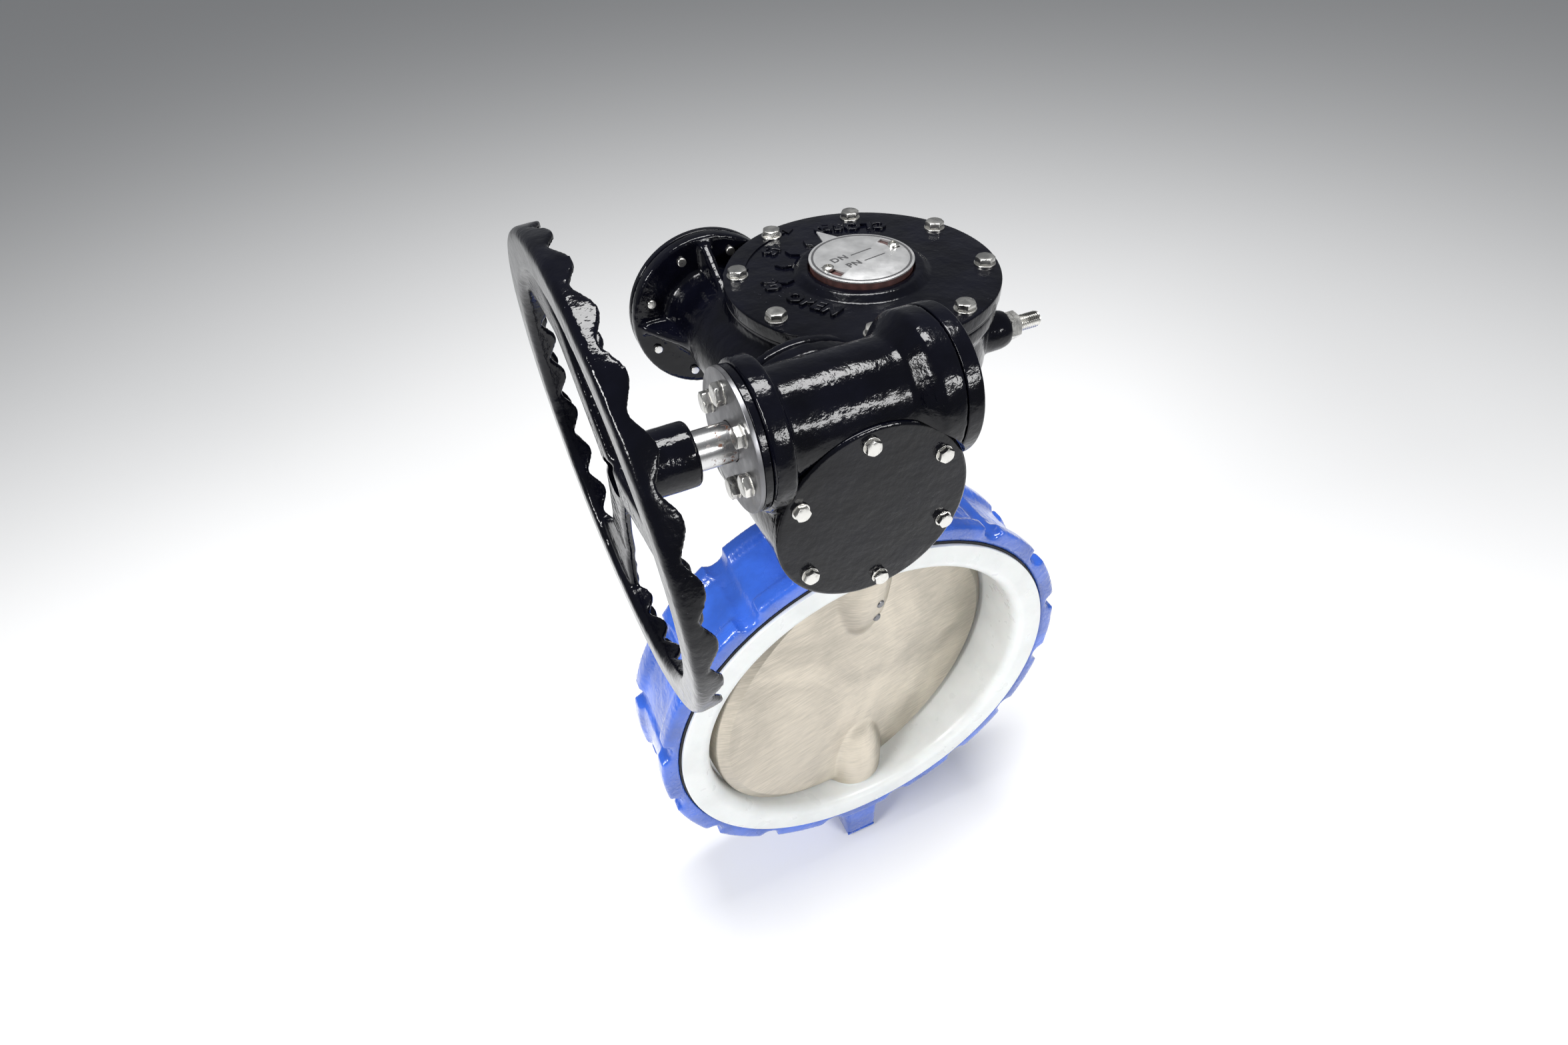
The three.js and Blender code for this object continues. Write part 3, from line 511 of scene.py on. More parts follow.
def shaft_steel(colors):
    made = Finish("shaft_steel", colors.plate, 0.22, 1.0)
    spots = made.between(made.noise(240, 5, 0.7), 0.56, 0.64)
    near = made.between(made.axis("X"), -0.204, -0.186)
    rust = made.sums("MULTIPLY", spots, made.between(near, 0.0, 1.0, 0.15, 1.0))
    made.color(made.mixed(rust, tuple(colors.plate), (0.16, 0.055, 0.02)))
    made.put(made.shader.inputs["Metallic"], made.between(rust, 0.2, 0.8, 1.0, 0.1))
    made.rough(made.between(rust, 0.0, 1.0, 0.24, 0.8))
    made.bump(made.noise(2200, 2, stretch=(5, 1, 1)), 0.012)
    made.bump(made.noise(300, 3), 0.03)
    return made.material


def red_primer(colors):
    made = Finish("red_primer", colors.primer, 0.6)
    base = tuple(colors.primer)
    made.color(made.mixed(made.between(made.noise(180, 4), 0.4, 0.65), base, tuple(v * 1.8 for v in base)))
    made.bump(made.noise(300, 3), 0.15)
    return made.material


def rubber(_colors):
    made = Finish("rubber", (0.02, 0.02, 0.021), 0.7)
    made.rough(made.between(made.noise(80, 3), 0.3, 0.7, 0.6, 0.85))
    made.color(made.mixed(made.noise(150, 3), (0.014, 0.014, 0.015), (0.03, 0.03, 0.032)))
    made.bump(made.noise(500, 3), 0.05)
    return made.material


def graphite(_colors):
    made = Finish("graphite", (0.03, 0.03, 0.03), 0.6)
    made.color(made.mixed(made.noise(400, 3), (0.02, 0.02, 0.02), (0.06, 0.06, 0.065)))
    made.bump(made.noise(900, 3), 0.05)
    return made.material


FINISHES = {
    "blue enamel": blue_enamel,
    "black enamel": black_enamel,
    "lining plastic": lining_plastic,
    "disc steel": disc_steel,
    "zinc steel": zinc_steel,
    "plate steel": plate_steel,
    "shaft steel": shaft_steel,
    "dark steel": lambda colors: plain_steel("dark_steel", (0.2, 0.2, 0.21), 0.3, 0.5),
    "bronze": lambda colors: plain_steel("bronze", (0.5, 0.31, 0.1), 0.3, 0.45, dirt=(0.12, 0.08, 0.03)),
    "red primer": red_primer,
    "rubber": rubber,
    "graphite": graphite,
}
made_finishes = {}


def finish_named(name):
    if name not in made_finishes:
        made_finishes[name] = FINISHES[name](bpy.context.scene.valve_finish)
    return made_finishes[name]


# ------------------------------------------------------------------ fasteners
def bolt(across, height, washer=0.0, washer_r=0.0, turn=0.0):
    """Hexagon head on a plain washer, its seat at z = 0."""
    shapes = [moved(hexagon(across, height, turn), 0, 0, washer)]
    if washer:
        shapes.append(lathe([[0, 0], [washer_r, 0], [washer_r, washer], [0, washer]], 0.25, 64))
    return joined(shapes)


def placed(shape, axis, x, y, z):
    """A fastener made along +Z turned to point along one of the axes, then moved."""
    spins = {"+Z": (0, "X"), "-Z": (180, "X"), "-Y": (90, "X"), "+Y": (-90, "X"), "+X": (90, "Y"), "-X": (-90, "Y")}
    return moved(turned(shape, *spins[axis]), x, y, z)


# ------------------------------------------------------------------ valve
def ring_casting():
    """Body ring: a closed profile turned about Y, its radius cut back to an arc at each flange bolt."""
    half = [[BODY_BORE_R, 43.7], [RECESS_R, 43.7], [RECESS_R, BODY_HALF], [BODY_R, BODY_HALF]]
    half += [[BODY_R, 33], [BODY_R - 6, 29]]
    profile = half + [[r, -y] for r, y in reversed(half)]
    line = finely(softened(profile, 2.0), 6.0)
    angle = np.arange(1152) / 1152 * TAU
    step = TAU / NOTCHES
    off = (angle % step) - step / 2
    centre = 260.5
    inside = 14.5**2 - (centre * np.sin(off)) ** 2
    near_neck = np.abs(angle - math.pi / 2) < math.radians(22.5)
    cut = np.where((inside > 0) & ~near_neck, centre * np.cos(off) - np.sqrt(np.maximum(inside, 0)), 1000)
    r = np.minimum(line[:, :1], cut)
    points = np.stack([r * np.cos(angle), line[:, 1:] + 0 * r, r * np.sin(angle)], -1)
    return grid(points, close_u=True)


def within_flanges(shape):
    """Below z 296 the neck is flattened to y within 49.5, so that the pipe flanges clear it."""
    points = shape[0].copy()
    flat = np.clip(points[:, 1], -49.5, 49.5)
    points[:, 1] = np.where(points[:, 2] < 297, flat, points[:, 1])
    return points, shape[1]


def upright(shape):
    """A shape made about Z, stood up along -Y."""
    return turned(shape, 90, "X")


def make_body():
    neck = [[0, 225], [40, 225], [66, 225], [62, 262], [48, 296], [46, 362], [54, 379], [TOP_FLANGE_R, 380]]
    neck += [[TOP_FLANGE_R, TOP_FLANGE_Z - 0.3], [0, TOP_FLANGE_Z - 0.3]]
    lug_points = ((269, 70.5), (270, 80), (270, 90), (270, 100), (269, 109.5), (232, 110), (232, 70))
    lug = [polar(r, degrees) for r, degrees in lug_points]
    gusset = [[-62, -238], [-26, -282], [-22, -321], [22, -321], [26, -282], [62, -238], [0, -236]]
    foot = [[-22, -240], [-22, -321.8], [22, -321.8], [22, -240]]
    shapes = [
        ring_casting(),
        within_flanges(lathe(neck, 3.0, 128, 6.0)),
        upright(prism(lug, -42, 42, 3.0)),
        upright(prism(gusset, -38, 38, 3.0)),
        upright(prism(foot, -43.5, 43.5, 3.0)),
    ]
    bore = [[0, -70], [RECESS_R, -70], [RECESS_R, -43.8], [BODY_BORE_R, -43.8]]
    bore += [[BODY_BORE_R, 43.8], [RECESS_R, 43.8], [RECESS_R, 70], [0, 70]]
    cuts = [along_y(lathe(bore, 0, 256, 1000), 0, 0)]
    cuts += [along_y(rod(13, -60, 60, 0, 48), *polar(257.5, angle)) for angle in (78.75, 101.25)]
    piece("valve_body", shapes, "blue enamel", stands_for="body", fuse=(2.7, 5), cuts=cuts, sharp=45)


def make_lining():
    bore, out, flare, face = 200.6, 206.0, 235.0, 54.0
    round_in = [[bore + 13 - 13 * math.sin(a), face - 13 + 13 * math.cos(a)] for a in np.linspace(math.pi / 2, 0.0, 9)]
    half = round_in + [[flare, face], [flare, 49.5], [out, 49.5]]
    profile = half + [[r, -y] for r, y in reversed(half)]
    piece("bore_lining", [along_y(lathe(profile, 0.8, 320, 8.0), 0, 0)], "lining plastic", stands_for="seat_liner")
    seat = [[20.6, 195.4], [40, 195.4], [40, 203], [20.6, 203]]
    seats = [lathe(seat, 0.8, 96), turned(lathe(seat, 0.8, 96), 180, "X")]
    piece("hub_seats", seats, "lining plastic")
    ring = [[206.3, 49.2], [237.2, 49.2], [237.2, 44], [213, 44]]
    ring += [[r, -y] for r, y in reversed(ring)]
    piece("backing_rubber", [along_y(lathe(ring, 0.5, 256), 0, 0)], "rubber", stands_for="seat_backing_ring")


def make_disc():
    """Disc: half thickness over polar (rho, phi) is the larger of a plate and two tapering hubs, smoothly joined."""
    rho = np.concatenate([np.linspace(0, 184, 70), np.linspace(185, 199.4, 26)])[:, None]
    phi = np.arange(384) / 384 * TAU
    x, z = rho * np.cos(phi), rho * np.sin(phi)
    edge = np.clip((rho - 186.5) / (198.6 - 186.5), 0, 1)
    rim = np.sqrt(np.clip(1 - ((rho - 197.4) / 2.05) ** 2, 0, 1))
    plate = (20 - 7 * edge) * np.where(rho > 197.4, 0.55 + 0.45 * rim, 1)
    reach = np.clip((np.abs(z) - 78) / 100, 0, 1)
    hub_r = 42 * np.sqrt(reach * (2 - reach))
    hub = np.sqrt(np.maximum(hub_r**2 - x**2, 0)) - np.where(np.abs(x) >= hub_r, 30, 0)
    k = 5.0
    d = hub - plate
    depth = plate + np.where(d > k, d, np.where(d > -k, (d + k) ** 2 / (4 * k), 0))
    depth = np.where(rho > 199.3, np.where(np.abs(x) < 40, depth, 4.0), depth)
    z = np.where(np.abs(x) < 42, np.clip(z, -195, 195), z)
    front = np.stack([x, -depth, z], -1)
    back = np.stack([x, depth, z], -1)[::-1]
    shape = turned(grid(np.concatenate([front, back])), OPEN_AT_REST)
    piece("disc_casting", [shape], "disc steel", "disc_and_stem", "disc", sharp=40)
    for name, height, front in (("upper", 150, -41.6), ("lower", 124, -37)):
        pin = [[0, front], [3.8, front], [5, front + 1.4], [5, 29], [4, 30], [0, 30]]
        shape = turned(along_y(lathe(pin, 0.3, 48), 6, height), OPEN_AT_REST)
        piece(f"pin_{name}", [shape], "dark steel", "disc_and_stem", f"disc_pin_{name}")
    piece("stem_bar", [rod(STEM_R, 180, 499, 1.2, 96)], "dark steel", "disc_and_stem", "stem")
    piece("lower_stub", [rod(STEM_R, -316, -180, 1.2, 96)], "dark steel", "disc_and_stem", "lower_stub_shaft")


def make_bottom_cover():
    plate = [[-21, -43], [21, -43], [21, 43], [-21, 43]]
    piece("foot_plate", [prism(plate, -325.6, -322.3, 2.0)], "blue enamel", stands_for="bottom_cover")
    for k, y in enumerate((-30, 30)):
        head = placed(bolt(13, 3.6, 0.7, 8, 0.3 * k), "-Z", 0, y, -325.6)
        piece(f"foot_bolt_{k + 1}", [head], "zinc steel")


# ------------------------------------------------------------------ gear case
def make_gear_case():
    shell = [[0, 404], [TOP_FLANGE_R, 404], [TOP_FLANGE_R, 419.5], [74, 423], [74, 430], [100, 440], [106, 448]]
    shell += [[106, 488], [COVER_R - 1.5, 495], [COVER_R - 1.5, 508.4], [0, 508.4]]
    barrel = [[0, -96], [72, -96], [72, -86], [44, -83], [38, -76], [38, 84], [42, 98], [71, 98], [71, 111], [0, 111]]
    boss = [[0, 60], [17, 60], [17, 106], [15, 114], [0, 114]]
    shapes = [lathe(shell, 2.0, 160, 6.0), along_y(lathe(barrel, 1.5, 128, 6.0))]
    shapes += [along_x(lathe(boss, 1.0, 48, 6.0), side * STOP_Y, QUAD_Z) for side in (-1, 1)]
    for angle in (0, 90, 180, 270):
        rib = prism([[28, 52], [38, 52], [67, 99], [28, 99]], -4, 4, 1.0)
        shapes.append(moved(turned(rib, angle, "Y"), CROSS_X, 0, QUAD_Z))
    cuts = [rod(COVER_R + 2, 508.5, 560, 0, 128), rod(TOP_FLANGE_R + 2, 360, TOP_FLANGE_Z, 0, 128)]
    piece("gear_case", shapes, "black enamel", stands_for="gearbox_housing", fuse=(2.1, 5), cuts=cuts, sharp=50)
    end = [[0, 111.2], [70.6, 111.2], [70.6, 117.4], [0, 117.4]]
    piece("rear_cover", [along_y(lathe(end, 1.2, 128))], "black enamel", stands_for="rear_end_cover")
    for k in range(8):
        x, z = polar(58, 22.5 + 45 * k)
        head = placed(bolt(13, 4.6, 0.9, 8, 0.4 * k), "+Y", CROSS_X + x, 117.4, QUAD_Z + z)
        tip = placed(joined([rod(3.9, 0, 3.2, 0.8, 32)]), "-Y", CROSS_X + x, 98.2, QUAD_Z + z)
        piece(f"rear_bolt_{k + 1}", [head, tip], "zinc steel")
    for k in range(4):
        x, y = polar(82.5, 45 + 90 * k)
        head = placed(bolt(19, 6.4, 0, 0, 0.5 * k), "+Z", x, y, 420)
        piece(f"flange_bolt_{k + 1}", [head], "zinc steel", stands_for=f"mount_bolt_{k + 1}")
    for side, name in ((1, "closed"), (-1, "open")):
        screw = threaded(7, 100, 148, 2.0)
        screw = joined([screw, rod(6.5, 20.4, 101, 0.6, 32)])
        screw = along_x(screw, side * STOP_Y, QUAD_Z)
        piece(f"{name}_stop_stud", [screw], "zinc steel", stands_for=f"{name}_stop_screw")
        nut = joined([moved(hexagon(22, 5.6), 0, 0, 5.6), turned(moved(hexagon(22, 5.6), 0, 0, -5.6), 180, "X")])
        nut = along_x(moved(turned(nut, 12), 0, 0, 114.4), side * STOP_Y, QUAD_Z)
        piece(f"{name}_lock_nut", [nut], "zinc steel", stands_for=f"{name}_stop_nut")


def make_gear_cover():
    """Cover: a turned plate with a raised collar; its marks are raised characters, diamonds and an arrow on an arc."""
    profile = [[42.6, 510.2], [COVER_R, 510.2], [COVER_R, COVER_TOP], [56, COVER_TOP], [50, 527.4], [42.6, 527.4]]
    piece("case_cover", [lathe(profile, 1.6, 192)], "black enamel", stands_for="gearbox_cover")
    seal = [[96, 508.4], [COVER_R - 0.6, 508.4], [COVER_R - 0.6, 510.3], [96, 510.3]]
    piece("case_seal", [lathe(seal, 0.2, 160)], "graphite", stands_for="cover_gasket")
    for k in range(8):
        x, y = polar(COVER_BOLT_R, 22.5 + 45 * k)
        shape = moved(bolt(14, 5.2, 1.4, 8.8, math.radians(17 * k)), x, y, COVER_TOP)
        piece(f"case_bolt_{k + 1}", [shape], "zinc steel", stands_for=f"cover_bolt_{k + 1}")
    words = [("OPEN", 68, 209, 298), ("CLOSE", 80, 66, 157)]
    words += [("0", 82, 88, 178), ("45", 83, 127, 217), ("90", 76, 172, 262)]
    lettering("cover_letters", words, "black enamel", 17.0, COVER_TOP, 1.7)
    bars = []
    for angle in (106, 126, 147, 172):
        bar = prism([[56, 0], [63.5, -3.6], [71, 0], [63.5, 3.6]], COVER_TOP - 0.5, COVER_TOP + 2.2, 0.5)
        bars.append(turned(bar, angle))
    arc = np.radians(np.linspace(106, 150, 40))
    width = np.array([-1.2, 1.2, 1.2, -1.2])
    height = np.array([-0.5, -0.5, 1.2, 1.2])
    r = ARROW_R + width[None, :] + 0 * arc[:, None]
    sweep = np.stack([r * np.cos(arc)[:, None], r * np.sin(arc)[:, None], COVER_TOP + height + 0 * r], -1)
    bars.append(grid(capped(sweep)))
    for angle, way in ((105, -1), (151, 1)):
        head = prism([[0, -4.5], [9, 0], [0, 4.5]], COVER_TOP - 0.5, COVER_TOP + 1.2, 0.5)
        x, y = polar(ARROW_R, angle)
        bars.append(moved(turned(head, angle + 90 * way), x, y))
    piece("cover_marks", bars, "black enamel")


def make_indicator():
    """Pointer plate: a circle left open over 20 degrees, where two straight sides run out to the pointer's tip."""
    hub = [[0, 501], [38, 501], [38, 514], [41.5, 516], [41.5, 531.4], [0, 531.4]]
    piece("pointer_hub", [lathe(hub, 0.8, 128)], "red primer", "disc_and_stem", "indicator_hub")
    around = [polar(42.4, a) for a in np.linspace(10, 350, 120)]
    outline = np.array(around + [(60.4, -0.5), (60.4, 0.5)])
    t = np.array([0.0, 0.72, 0.9, 0.99, 1.0, 1.0, 0.99, 0.0])[:, None, None]
    z = np.array([531.7, 531.7, 531.7, 531.7, 531.9, 533.0, 533.2, 533.2])[:, None] + 0 * outline[:, 0]
    plate = grid(np.concatenate([t * outline, z[..., None]], -1))
    slots = []
    for side in (0, 180):
        arc = np.radians(np.linspace(-9, 26, 12) - 90 + side)
        outer, inner = (np.c_[r * np.cos(arc), r * np.sin(arc)] for r in (36.4, 29.6))
        loop = np.concatenate([outer, inner[::-1]])
        middle = loop.mean(0) + 0 * loop
        rows = [(middle, 530), (loop, 530), (loop, 535), (middle, 535)]
        slots.append(grid(np.stack([np.c_[xy, np.full(len(xy), h)] for xy, h in rows])))
    turn = 90 + OPEN_AT_REST
    shapes, cuts = [turned(plate, turn)], [turned(joined(slots), turn)]
    piece("pointer_plate", shapes, "plate steel", "disc_and_stem", "indicator_plate", cuts=cuts, sharp=30)
    ring = [[38.6, 532.8], [40.4, 532.8], [40.4, 533.35], [38.6, 533.35]]
    piece("pointer_ring", [lathe(ring, 0.1, 160)], "graphite", "disc_and_stem", "indicator_plate")
    lines = [("DN \u2014\u2014", 9, 128, OPEN_AT_REST), ("PN \u2014\u2014", 6, 280, OPEN_AT_REST)]
    lettering("pointer_letters", lines, "graphite", 9.5, POINTER_TOP, 0.15, "disc_and_stem")
    for k, side in enumerate((0, 180)):
        x, y = polar(33, side + OPEN_AT_REST)
        r = np.linspace(0, 4.6, 24)[:, None]
        angle = np.arange(64) / 64 * TAU
        px, py = r * np.cos(angle), r * np.sin(angle)
        slot = np.where((np.minimum(np.abs(px), np.abs(py)) < 0.65) & (r < 2.9), 1.3, 0)
        top = 533.4 + 3.1 * np.sqrt(1 - (r / 5.4) ** 2) - slot
        skirt = np.stack([4.6 * np.cos(angle), 4.6 * np.sin(angle), 533.3 + 0 * angle], -1)[None]
        shape = np.concatenate([np.stack([px, py, top], -1), skirt, skirt * [0, 0, 1]])
        name = f"pointer_screw_{k + 1}"
        piece(name, [moved(grid(shape), x, y)], "zinc steel", "disc_and_stem", f"indicator_screw_{k + 1}")


# ------------------------------------------------------------------ second gear stage
def make_drum():
    drum = [[0, DRUM_FRONT], [DRUM_R, DRUM_FRONT], [DRUM_R, -111], [72, -108], [72, DRUM_BACK], [0, DRUM_BACK]]
    tube = [[0, -171.1], [50.3, -171.1], [50.3, -157.5], [48.5, -156], [39, -154.5], [39, -70], [50, -59]]
    tube += [[COLLAR_R, -56], [COLLAR_R, -40.3], [0, -40.3]]
    shapes = [along_y(lathe(drum, 1.2, 144, 6.0)), along_x(lathe(tube, 1.0, 128, 6.0))]
    cuts = [rod(COVER_R + 2.2, 506.5, 560, 0, 128), along_y(rod(DRUM_R + 2, -240, DRUM_FRONT, 0, 144))]
    piece("worm_drum", shapes, "black enamel", stands_for="reducer_housing", fuse=(1.7, 5), cuts=cuts, sharp=50)
    face = [[0, -205], [69.5, -205], [71.5, -203.8], [71.5, DRUM_FRONT - 0.3], [0, DRUM_FRONT - 0.3]]
    piece("drum_cover", [along_y(lathe(face, 0.8, 160))], "black enamel", stands_for="reducer_cover")
    for k in range(6):
        x, z = polar(DRUM_BOLT_R, 95 + 60 * k)
        shape = placed(bolt(10, 4.0, 1.2, 6.2, math.radians(23 * k)), "-Y", CROSS_X + x, -205, QUAD_Z + z)
        piece(f"drum_bolt_{k + 1}", [shape], "zinc steel", stands_for=f"reducer_cover_bolt_{k + 1}")
    cap = [[0, -40], [COLLAR_R, -40], [COLLAR_R, -29], [COLLAR_R - 1.5, -27.5], [0, -27.5]]
    cuts = [along_y(rod(DRUM_R + 2.3, -230, -90, 0, 144))]
    piece("worm_end_cap", [along_x(lathe(cap, 1.0, 128))], "black enamel", stands_for="input_end_cap", cuts=cuts)


def make_input():
    ring = [[16, -176.4], [PLATE_R, -176.4], [PLATE_R, -171.4], [25.7, -171.4], [25.7, -169.9], [16, -169.9]]
    piece("bearing_ring", [along_x(lathe(ring, 0.5, 128))], "black enamel", stands_for="input_bearing_cover")
    plate = [[13.5, PLATE_X], [PLATE_R, PLATE_X], [PLATE_R, -176.7], [13.5, -176.7]]
    piece("clamp_plate", [along_x(lathe(plate, 0.5, 160))], "dark steel", stands_for="retainer_plate")
    for k in range(6):
        y, z = polar(33, 80 - 60 * k)
        head = placed(bolt(13, 5.2, 1.2, 7.6, 0.35 * k), "-X", PLATE_X, INPUT_Y + y, INPUT_Z + z)
        piece(f"plate_bolt_{k + 1}", [head], "zinc steel")
    shaft = [[0, -247], [12, -247], [SHAFT_R, -246], [SHAFT_R, -160], [0, -160]]
    piece("worm_shaft", [along_x(lathe(shaft, 0.3, 96))], "shaft steel", "input_group", "input_shaft")


# ------------------------------------------------------------------ handwheel
def wheel_rim(sizes):
    """Channel rim: a closed section turned about X; both skirts end at depth + lift * wave(angle) at the back."""
    r, waves = sizes.rim_radius * 1000, sizes.waves
    count = waves * 24
    angle = (np.arange(count) / count * TAU)[:, None]
    wave = (0.5 + 0.5 * np.cos(waves * angle)) ** 0.8
    back = 9 + 7 * wave
    inner = r - 24
    section = [(inner + 4, 0, 0), (inner + 12, 0, 0), (r - 4, 0, 0), (r - 1.2, 1.2, 0), (r, 4, 0), (r, 0, 0.6)]
    section += [(r, 0, 1), (r - 4, 0, 1), (r - 4.5, 5.5, 0), (r - 12, 5, 0), (inner + 5, 5.5, 0), (inner + 4, 0, 1)]
    section += [(inner, 0, 1), (inner, 0, 0.6), (inner, 4, 0), (inner + 1.2, 1.2, 0)]
    radius = np.array([s[0] for s in section])[None, :] + 0 * angle
    depth = np.array([s[1] for s in section]) + np.array([s[2] for s in section]) * back
    points = np.stack([WHEEL_FRONT + depth, radius * np.cos(angle), radius * np.sin(angle)], -1)
    return grid(points, close_u=True)


def wheel_spoke(angle):
    """Flat spoke: half width over the distance from the hub is a smooth curve through five stations."""
    at = np.linspace(10, 126, 48)
    half = np.interp(at, [10, 34, 70, 100, 124], [14, 12, 12.5, 17, 31])
    front = WHEEL_FRONT + np.interp(at, [10, 90, 126], [8.5, 8.5, 4.0])
    around = np.linspace(0, TAU, 32, endpoint=False)
    across = np.sign(np.cos(around)) * np.abs(np.cos(around)) ** 0.35
    through = np.sign(np.sin(around)) * np.abs(np.sin(around)) ** 0.35
    y = half[:, None] * across
    x = front[:, None] + 3.4 + 3.4 * through
    points = np.stack([x, at[:, None] + 0 * y, y], -1)
    return turned(grid(capped(points)), angle, "X")


def make_handwheel(sizes):
    shapes = [wheel_rim(sizes)] + [wheel_spoke(angle) for angle in SPOKE_ANGLES]
    shapes = [moved(shape, -WHEEL_PIVOT_X) for shape in shapes]
    for degrees, axis in WHEEL_LEAN:
        shapes = [turned(shape, degrees, axis) for shape in shapes]
    shapes = [moved(shape, WHEEL_PIVOT_X, INPUT_Y, INPUT_Z) for shape in shapes]
    hub = [[0, -255], [16, -255], [19, -253], [21, -247], [21, -207], [19, -205], [0, -205]]
    shapes.append(along_x(lathe(hub, 1.0, 96, 5.0)))
    cuts = [along_x(rod(SHAFT_R + 0.2, -280, -190, 0, 96))]
    piece("hand_wheel", shapes, "black enamel", "input_group", "handwheel", fuse=(1.5, 4), cuts=cuts, sharp=50)
    screw = moved(bolt(10, 4.4), 0, 0, 20.9)
    screw = moved(turned(screw, 38, "X"), -237, INPUT_Y, INPUT_Z)
    piece("wheel_screw", [screw], "zinc steel", "input_group", "handwheel_set_screw")


# ------------------------------------------------------------------ stage
def make_stage(light):
    """Floor, soft lights and a camera placed for a three-quarter view from above."""
    floor = bpy.data.meshes.new("floor")
    low = CAD_BOX[0][2] - 0.0005
    floor.from_pydata([(-9, -9, low), (9, -9, low), (9, 9, low), (-9, 9, low)], [], [(0, 1, 2, 3)])
    ground = bpy.data.objects.new("floor", floor)
    bpy.context.scene.collection.objects.link(ground)
    pale = Finish("pale_floor", (0.9, 0.9, 0.9), 0.9)
    pale.bump(pale.noise(40, 2), 0.05)
    floor.materials.append(pale.material)
    world = bpy.data.worlds.new("soft_white")
    world.use_nodes = True
    world.node_tree.nodes["Background"].inputs["Color"].default_value = (0.93, 0.96, 1.0, 1)
    world.node_tree.nodes["Background"].inputs["Strength"].default_value = light.sky
    bpy.context.scene.world = world
    lamps = (
        ("overhead", (0.1, 0.2, 2.4), (0, 0, 0), 1.4, 0.6, light.overhead),
        ("window", (-2.2, -0.6, 1.6), (0, -52, -20), 0.4, 1.3, light.window),
        ("front", (0.9, -2.2, 1.5), (55, 0, 20), 1.1, 0.4, light.front),
    )
    for name, spot, turn, wide, high, power in lamps:
        lamp = bpy.data.lights.new(name, "AREA")
        lamp.shape = "RECTANGLE"
        lamp.size, lamp.size_y, lamp.energy = wide, high, power
        holder = bpy.data.objects.new(name, lamp)
        holder.location = spot
        holder.rotation_euler = [math.radians(a) for a in turn]
        bpy.context.scene.collection.objects.link(holder)
    camera = bpy.data.cameras.new("camera")
    camera.sensor_fit = "HORIZONTAL"
    camera.sensor_width = 36.0
    camera.lens = 19.881
    camera.clip_start, camera.clip_end = 0.02, 30
    turn_a, turn_e, roll = -0.394609, 0.748246, -0.050430
    back = np.array([math.sin(turn_a) * math.cos(turn_e), -math.cos(turn_a) * math.cos(turn_e), math.sin(turn_e)])
    side = np.array([math.cos(turn_a), math.sin(turn_a), 0.0])
    up = np.cross(back, side)
    right = side * math.cos(roll) + up * math.sin(roll)
    top = up * math.cos(roll) - side * math.sin(roll)
    spot = np.array([-0.31654, -0.57156, 0.85095])
    holder = bpy.data.objects.new("camera", camera)
    holder.matrix_world = Matrix(np.vstack([np.column_stack([right, top, back, spot]), [0, 0, 0, 1]]).tolist())
    bpy.context.scene.collection.objects.link(holder)
    bpy.context.scene.camera = holder
    bpy.context.scene.view_settings.view_transform = "Standard"


# ------------------------------------------------------------------ add-on
def tint(name, words, value):
    return bpy.props.FloatVectorProperty(name=name, description=words, subtype="COLOR", default=value)


def watts(name, words, value):
    return bpy.props.FloatProperty(name=name, description=words, unit="POWER", default=value)


class ValveSizes(bpy.types.PropertyGroup):
    rim_radius: bpy.props.FloatProperty(
        name="Rim radius", description="Outer radius of the handwheel", default=0.1475, unit="LENGTH"
    )
    waves: bpy.props.IntProperty(name="Waves", description="Finger waves round the handwheel", default=26)


class ValveFinish(bpy.types.PropertyGroup):
    blue: tint("Body blue", "Enamel of the valve body", (0.03, 0.115, 0.56))
    black: tint("Gear black", "Enamel of the gear operator", (0.0012, 0.0013, 0.003))
    lining: tint("Lining", "White plastic of the bore", (0.8, 0.82, 0.81))
    disc: tint("Disc", "Satin steel of the disc", (0.62, 0.565, 0.475))
    zinc: tint("Fasteners", "Plated steel of the bolts", (0.66, 0.65, 0.62))
    plate: tint("Plates", "Bright steel of the pointer plate and shaft", (0.6, 0.6, 0.6))
    primer: tint("Pointer hub", "Dull primer under the pointer", (0.045, 0.016, 0.014))


class ValveLight(bpy.types.PropertyGroup):
    sky: bpy.props.FloatProperty(name="Sky", description="Strength of the pale surroundings", default=0.2)
    overhead: watts("Overhead", "Soft light from above", 62.0)
    window: watts("Window", "Light from the handwheel side", 60.0)
    front: watts("Front", "Light from the drum side", 34.0)


def operator(key, label, words, work):
    """An operator class that runs one making function."""

    def execute(self, context):
        work(context.scene)
        return {"FINISHED"}

    name = "VALVE_OT_" + key
    parts = {"bl_idname": "valve." + key, "bl_label": label, "__doc__": words, "execute": execute}
    return type(name, (bpy.types.Operator,), parts)


def finish_frame(_scene):
    """Gives every CAD node that stays the finish of its slot."""
    by_slot = {slot: name for name, slot in reversed(list(SLOTS.items()))}
    parts = {entry["node"]: entry["material_slot"] for entry in frame["record"]["subparts"]}
    for name, obj in frame["nodes"].items():
        finish = finish_named(by_slot[parts[name]])
        if obj.material_slots:
            for holder in obj.material_slots:
                holder.material = finish
        else:
            obj.data.materials.append(finish)


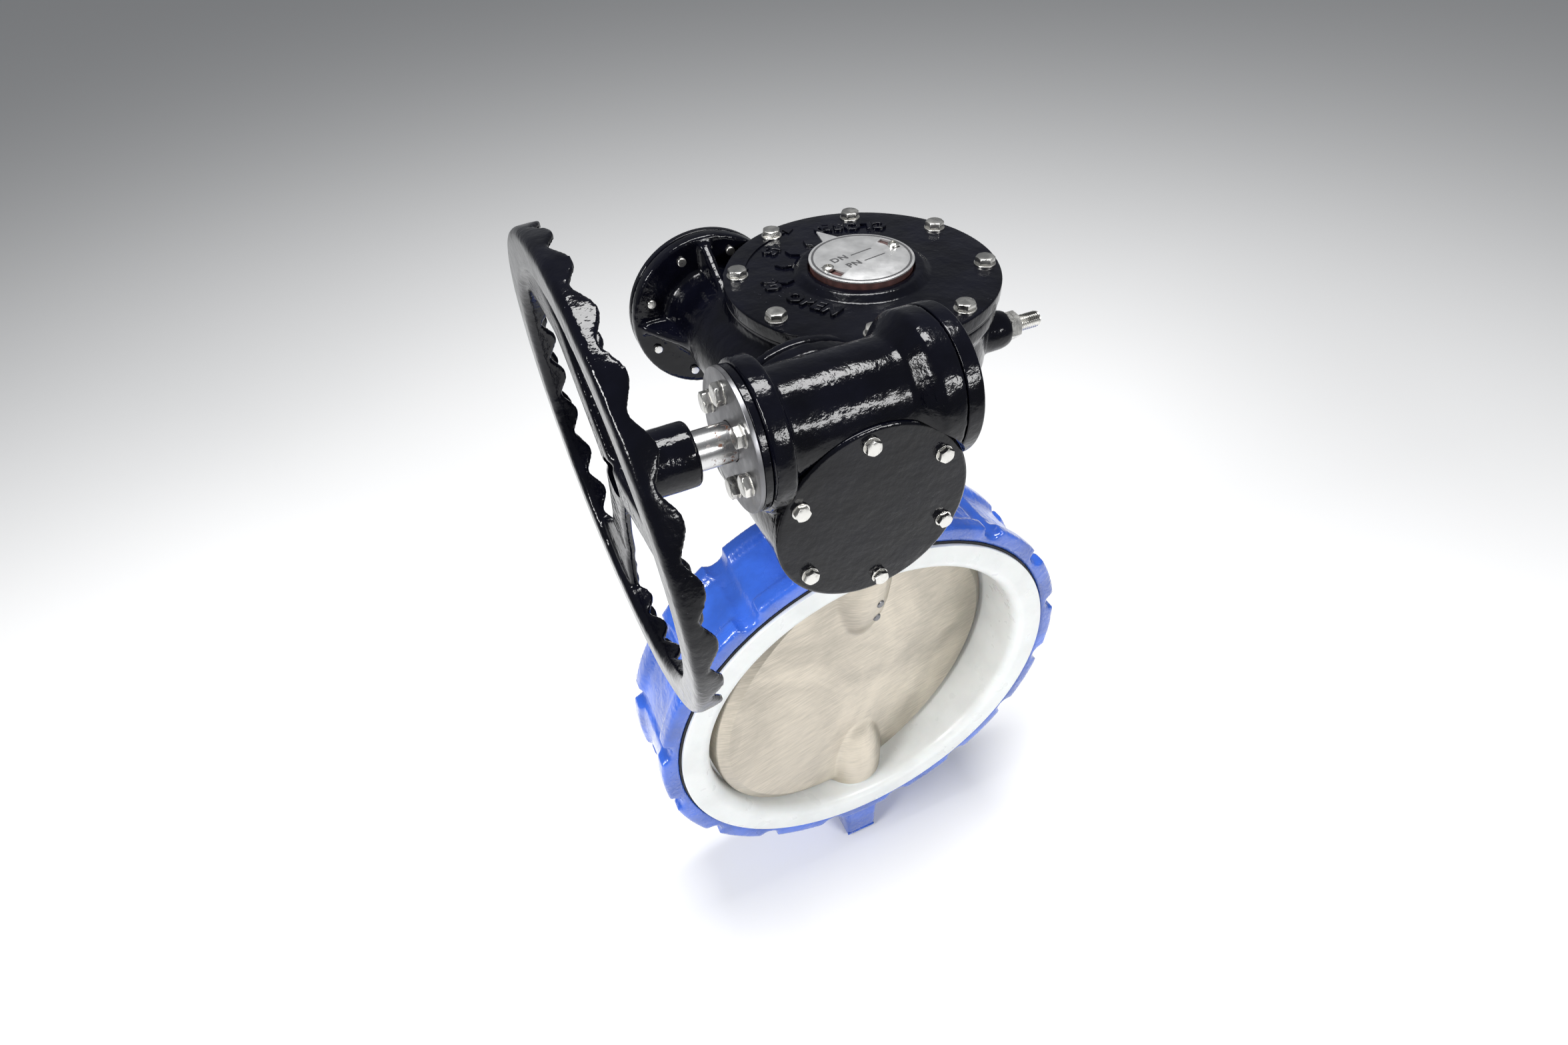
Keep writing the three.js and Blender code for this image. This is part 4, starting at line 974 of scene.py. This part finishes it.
OPERATORS = (
    operator("stage", "Stage", "Floor, lights and camera", lambda scene: make_stage(scene.valve_light)),
    operator("frame_finish", "Frame finishes", "Finishes of the CAD nodes that stay", finish_frame),
    operator("body", "Body", "Cast wafer body", lambda scene: make_body()),
    operator("lining", "Lining", "White bore lining and its rubber ring", lambda scene: make_lining()),
    operator("disc", "Disc", "Disc, pins and stem", lambda scene: make_disc()),
    operator("bottom_cover", "Bottom cover", "Foot plate and its bolts", lambda scene: make_bottom_cover()),
    operator("gear_case", "Gear case", "Gear case, rear cover and stops", lambda scene: make_gear_case()),
    operator("gear_cover", "Gear cover", "Cover with its bolts and dial marks", lambda scene: make_gear_cover()),
    operator("indicator", "Indicator", "Pointer plate, hub and screws", lambda scene: make_indicator()),
    operator("drum", "Worm drum", "Second gear drum and its cover", lambda scene: make_drum()),
    operator("input", "Input shaft", "Shaft, bearing ring and clamp plate", lambda scene: make_input()),
    operator("handwheel", "Handwheel", "Handwheel and its screw", lambda scene: make_handwheel(scene.valve_sizes)),
)


class VALVE_PT_panel(bpy.types.Panel):
    """Lists the steps that build the valve"""

    bl_label = "Butterfly valve"
    bl_idname = "VALVE_PT_panel"
    bl_space_type = "VIEW_3D"
    bl_region_type = "UI"
    bl_category = "Valve"

    def draw(self, context):
        for group in (context.scene.valve_sizes, context.scene.valve_finish, context.scene.valve_light):
            for key in group.__annotations__:
                self.layout.prop(group, key)
        for made in OPERATORS:
            self.layout.operator(made.bl_idname)


GROUPS = (("valve_sizes", ValveSizes), ("valve_finish", ValveFinish), ("valve_light", ValveLight))


def register():
    for key, group in GROUPS:
        bpy.utils.register_class(group)
        setattr(bpy.types.Scene, key, bpy.props.PointerProperty(type=group))
    for made in (*OPERATORS, VALVE_PT_panel):
        bpy.utils.register_class(made)


def unregister():
    for made in (*OPERATORS, VALVE_PT_panel):
        bpy.utils.unregister_class(made)
    for key, group in GROUPS:
        delattr(bpy.types.Scene, key)
        bpy.utils.unregister_class(group)


def main():
    register()
    for made in OPERATORS:
        getattr(bpy.ops.valve, made.bl_idname.split(".")[1])()
    bpy.context.view_layer.update()


if __name__ == "__main__":
    main()
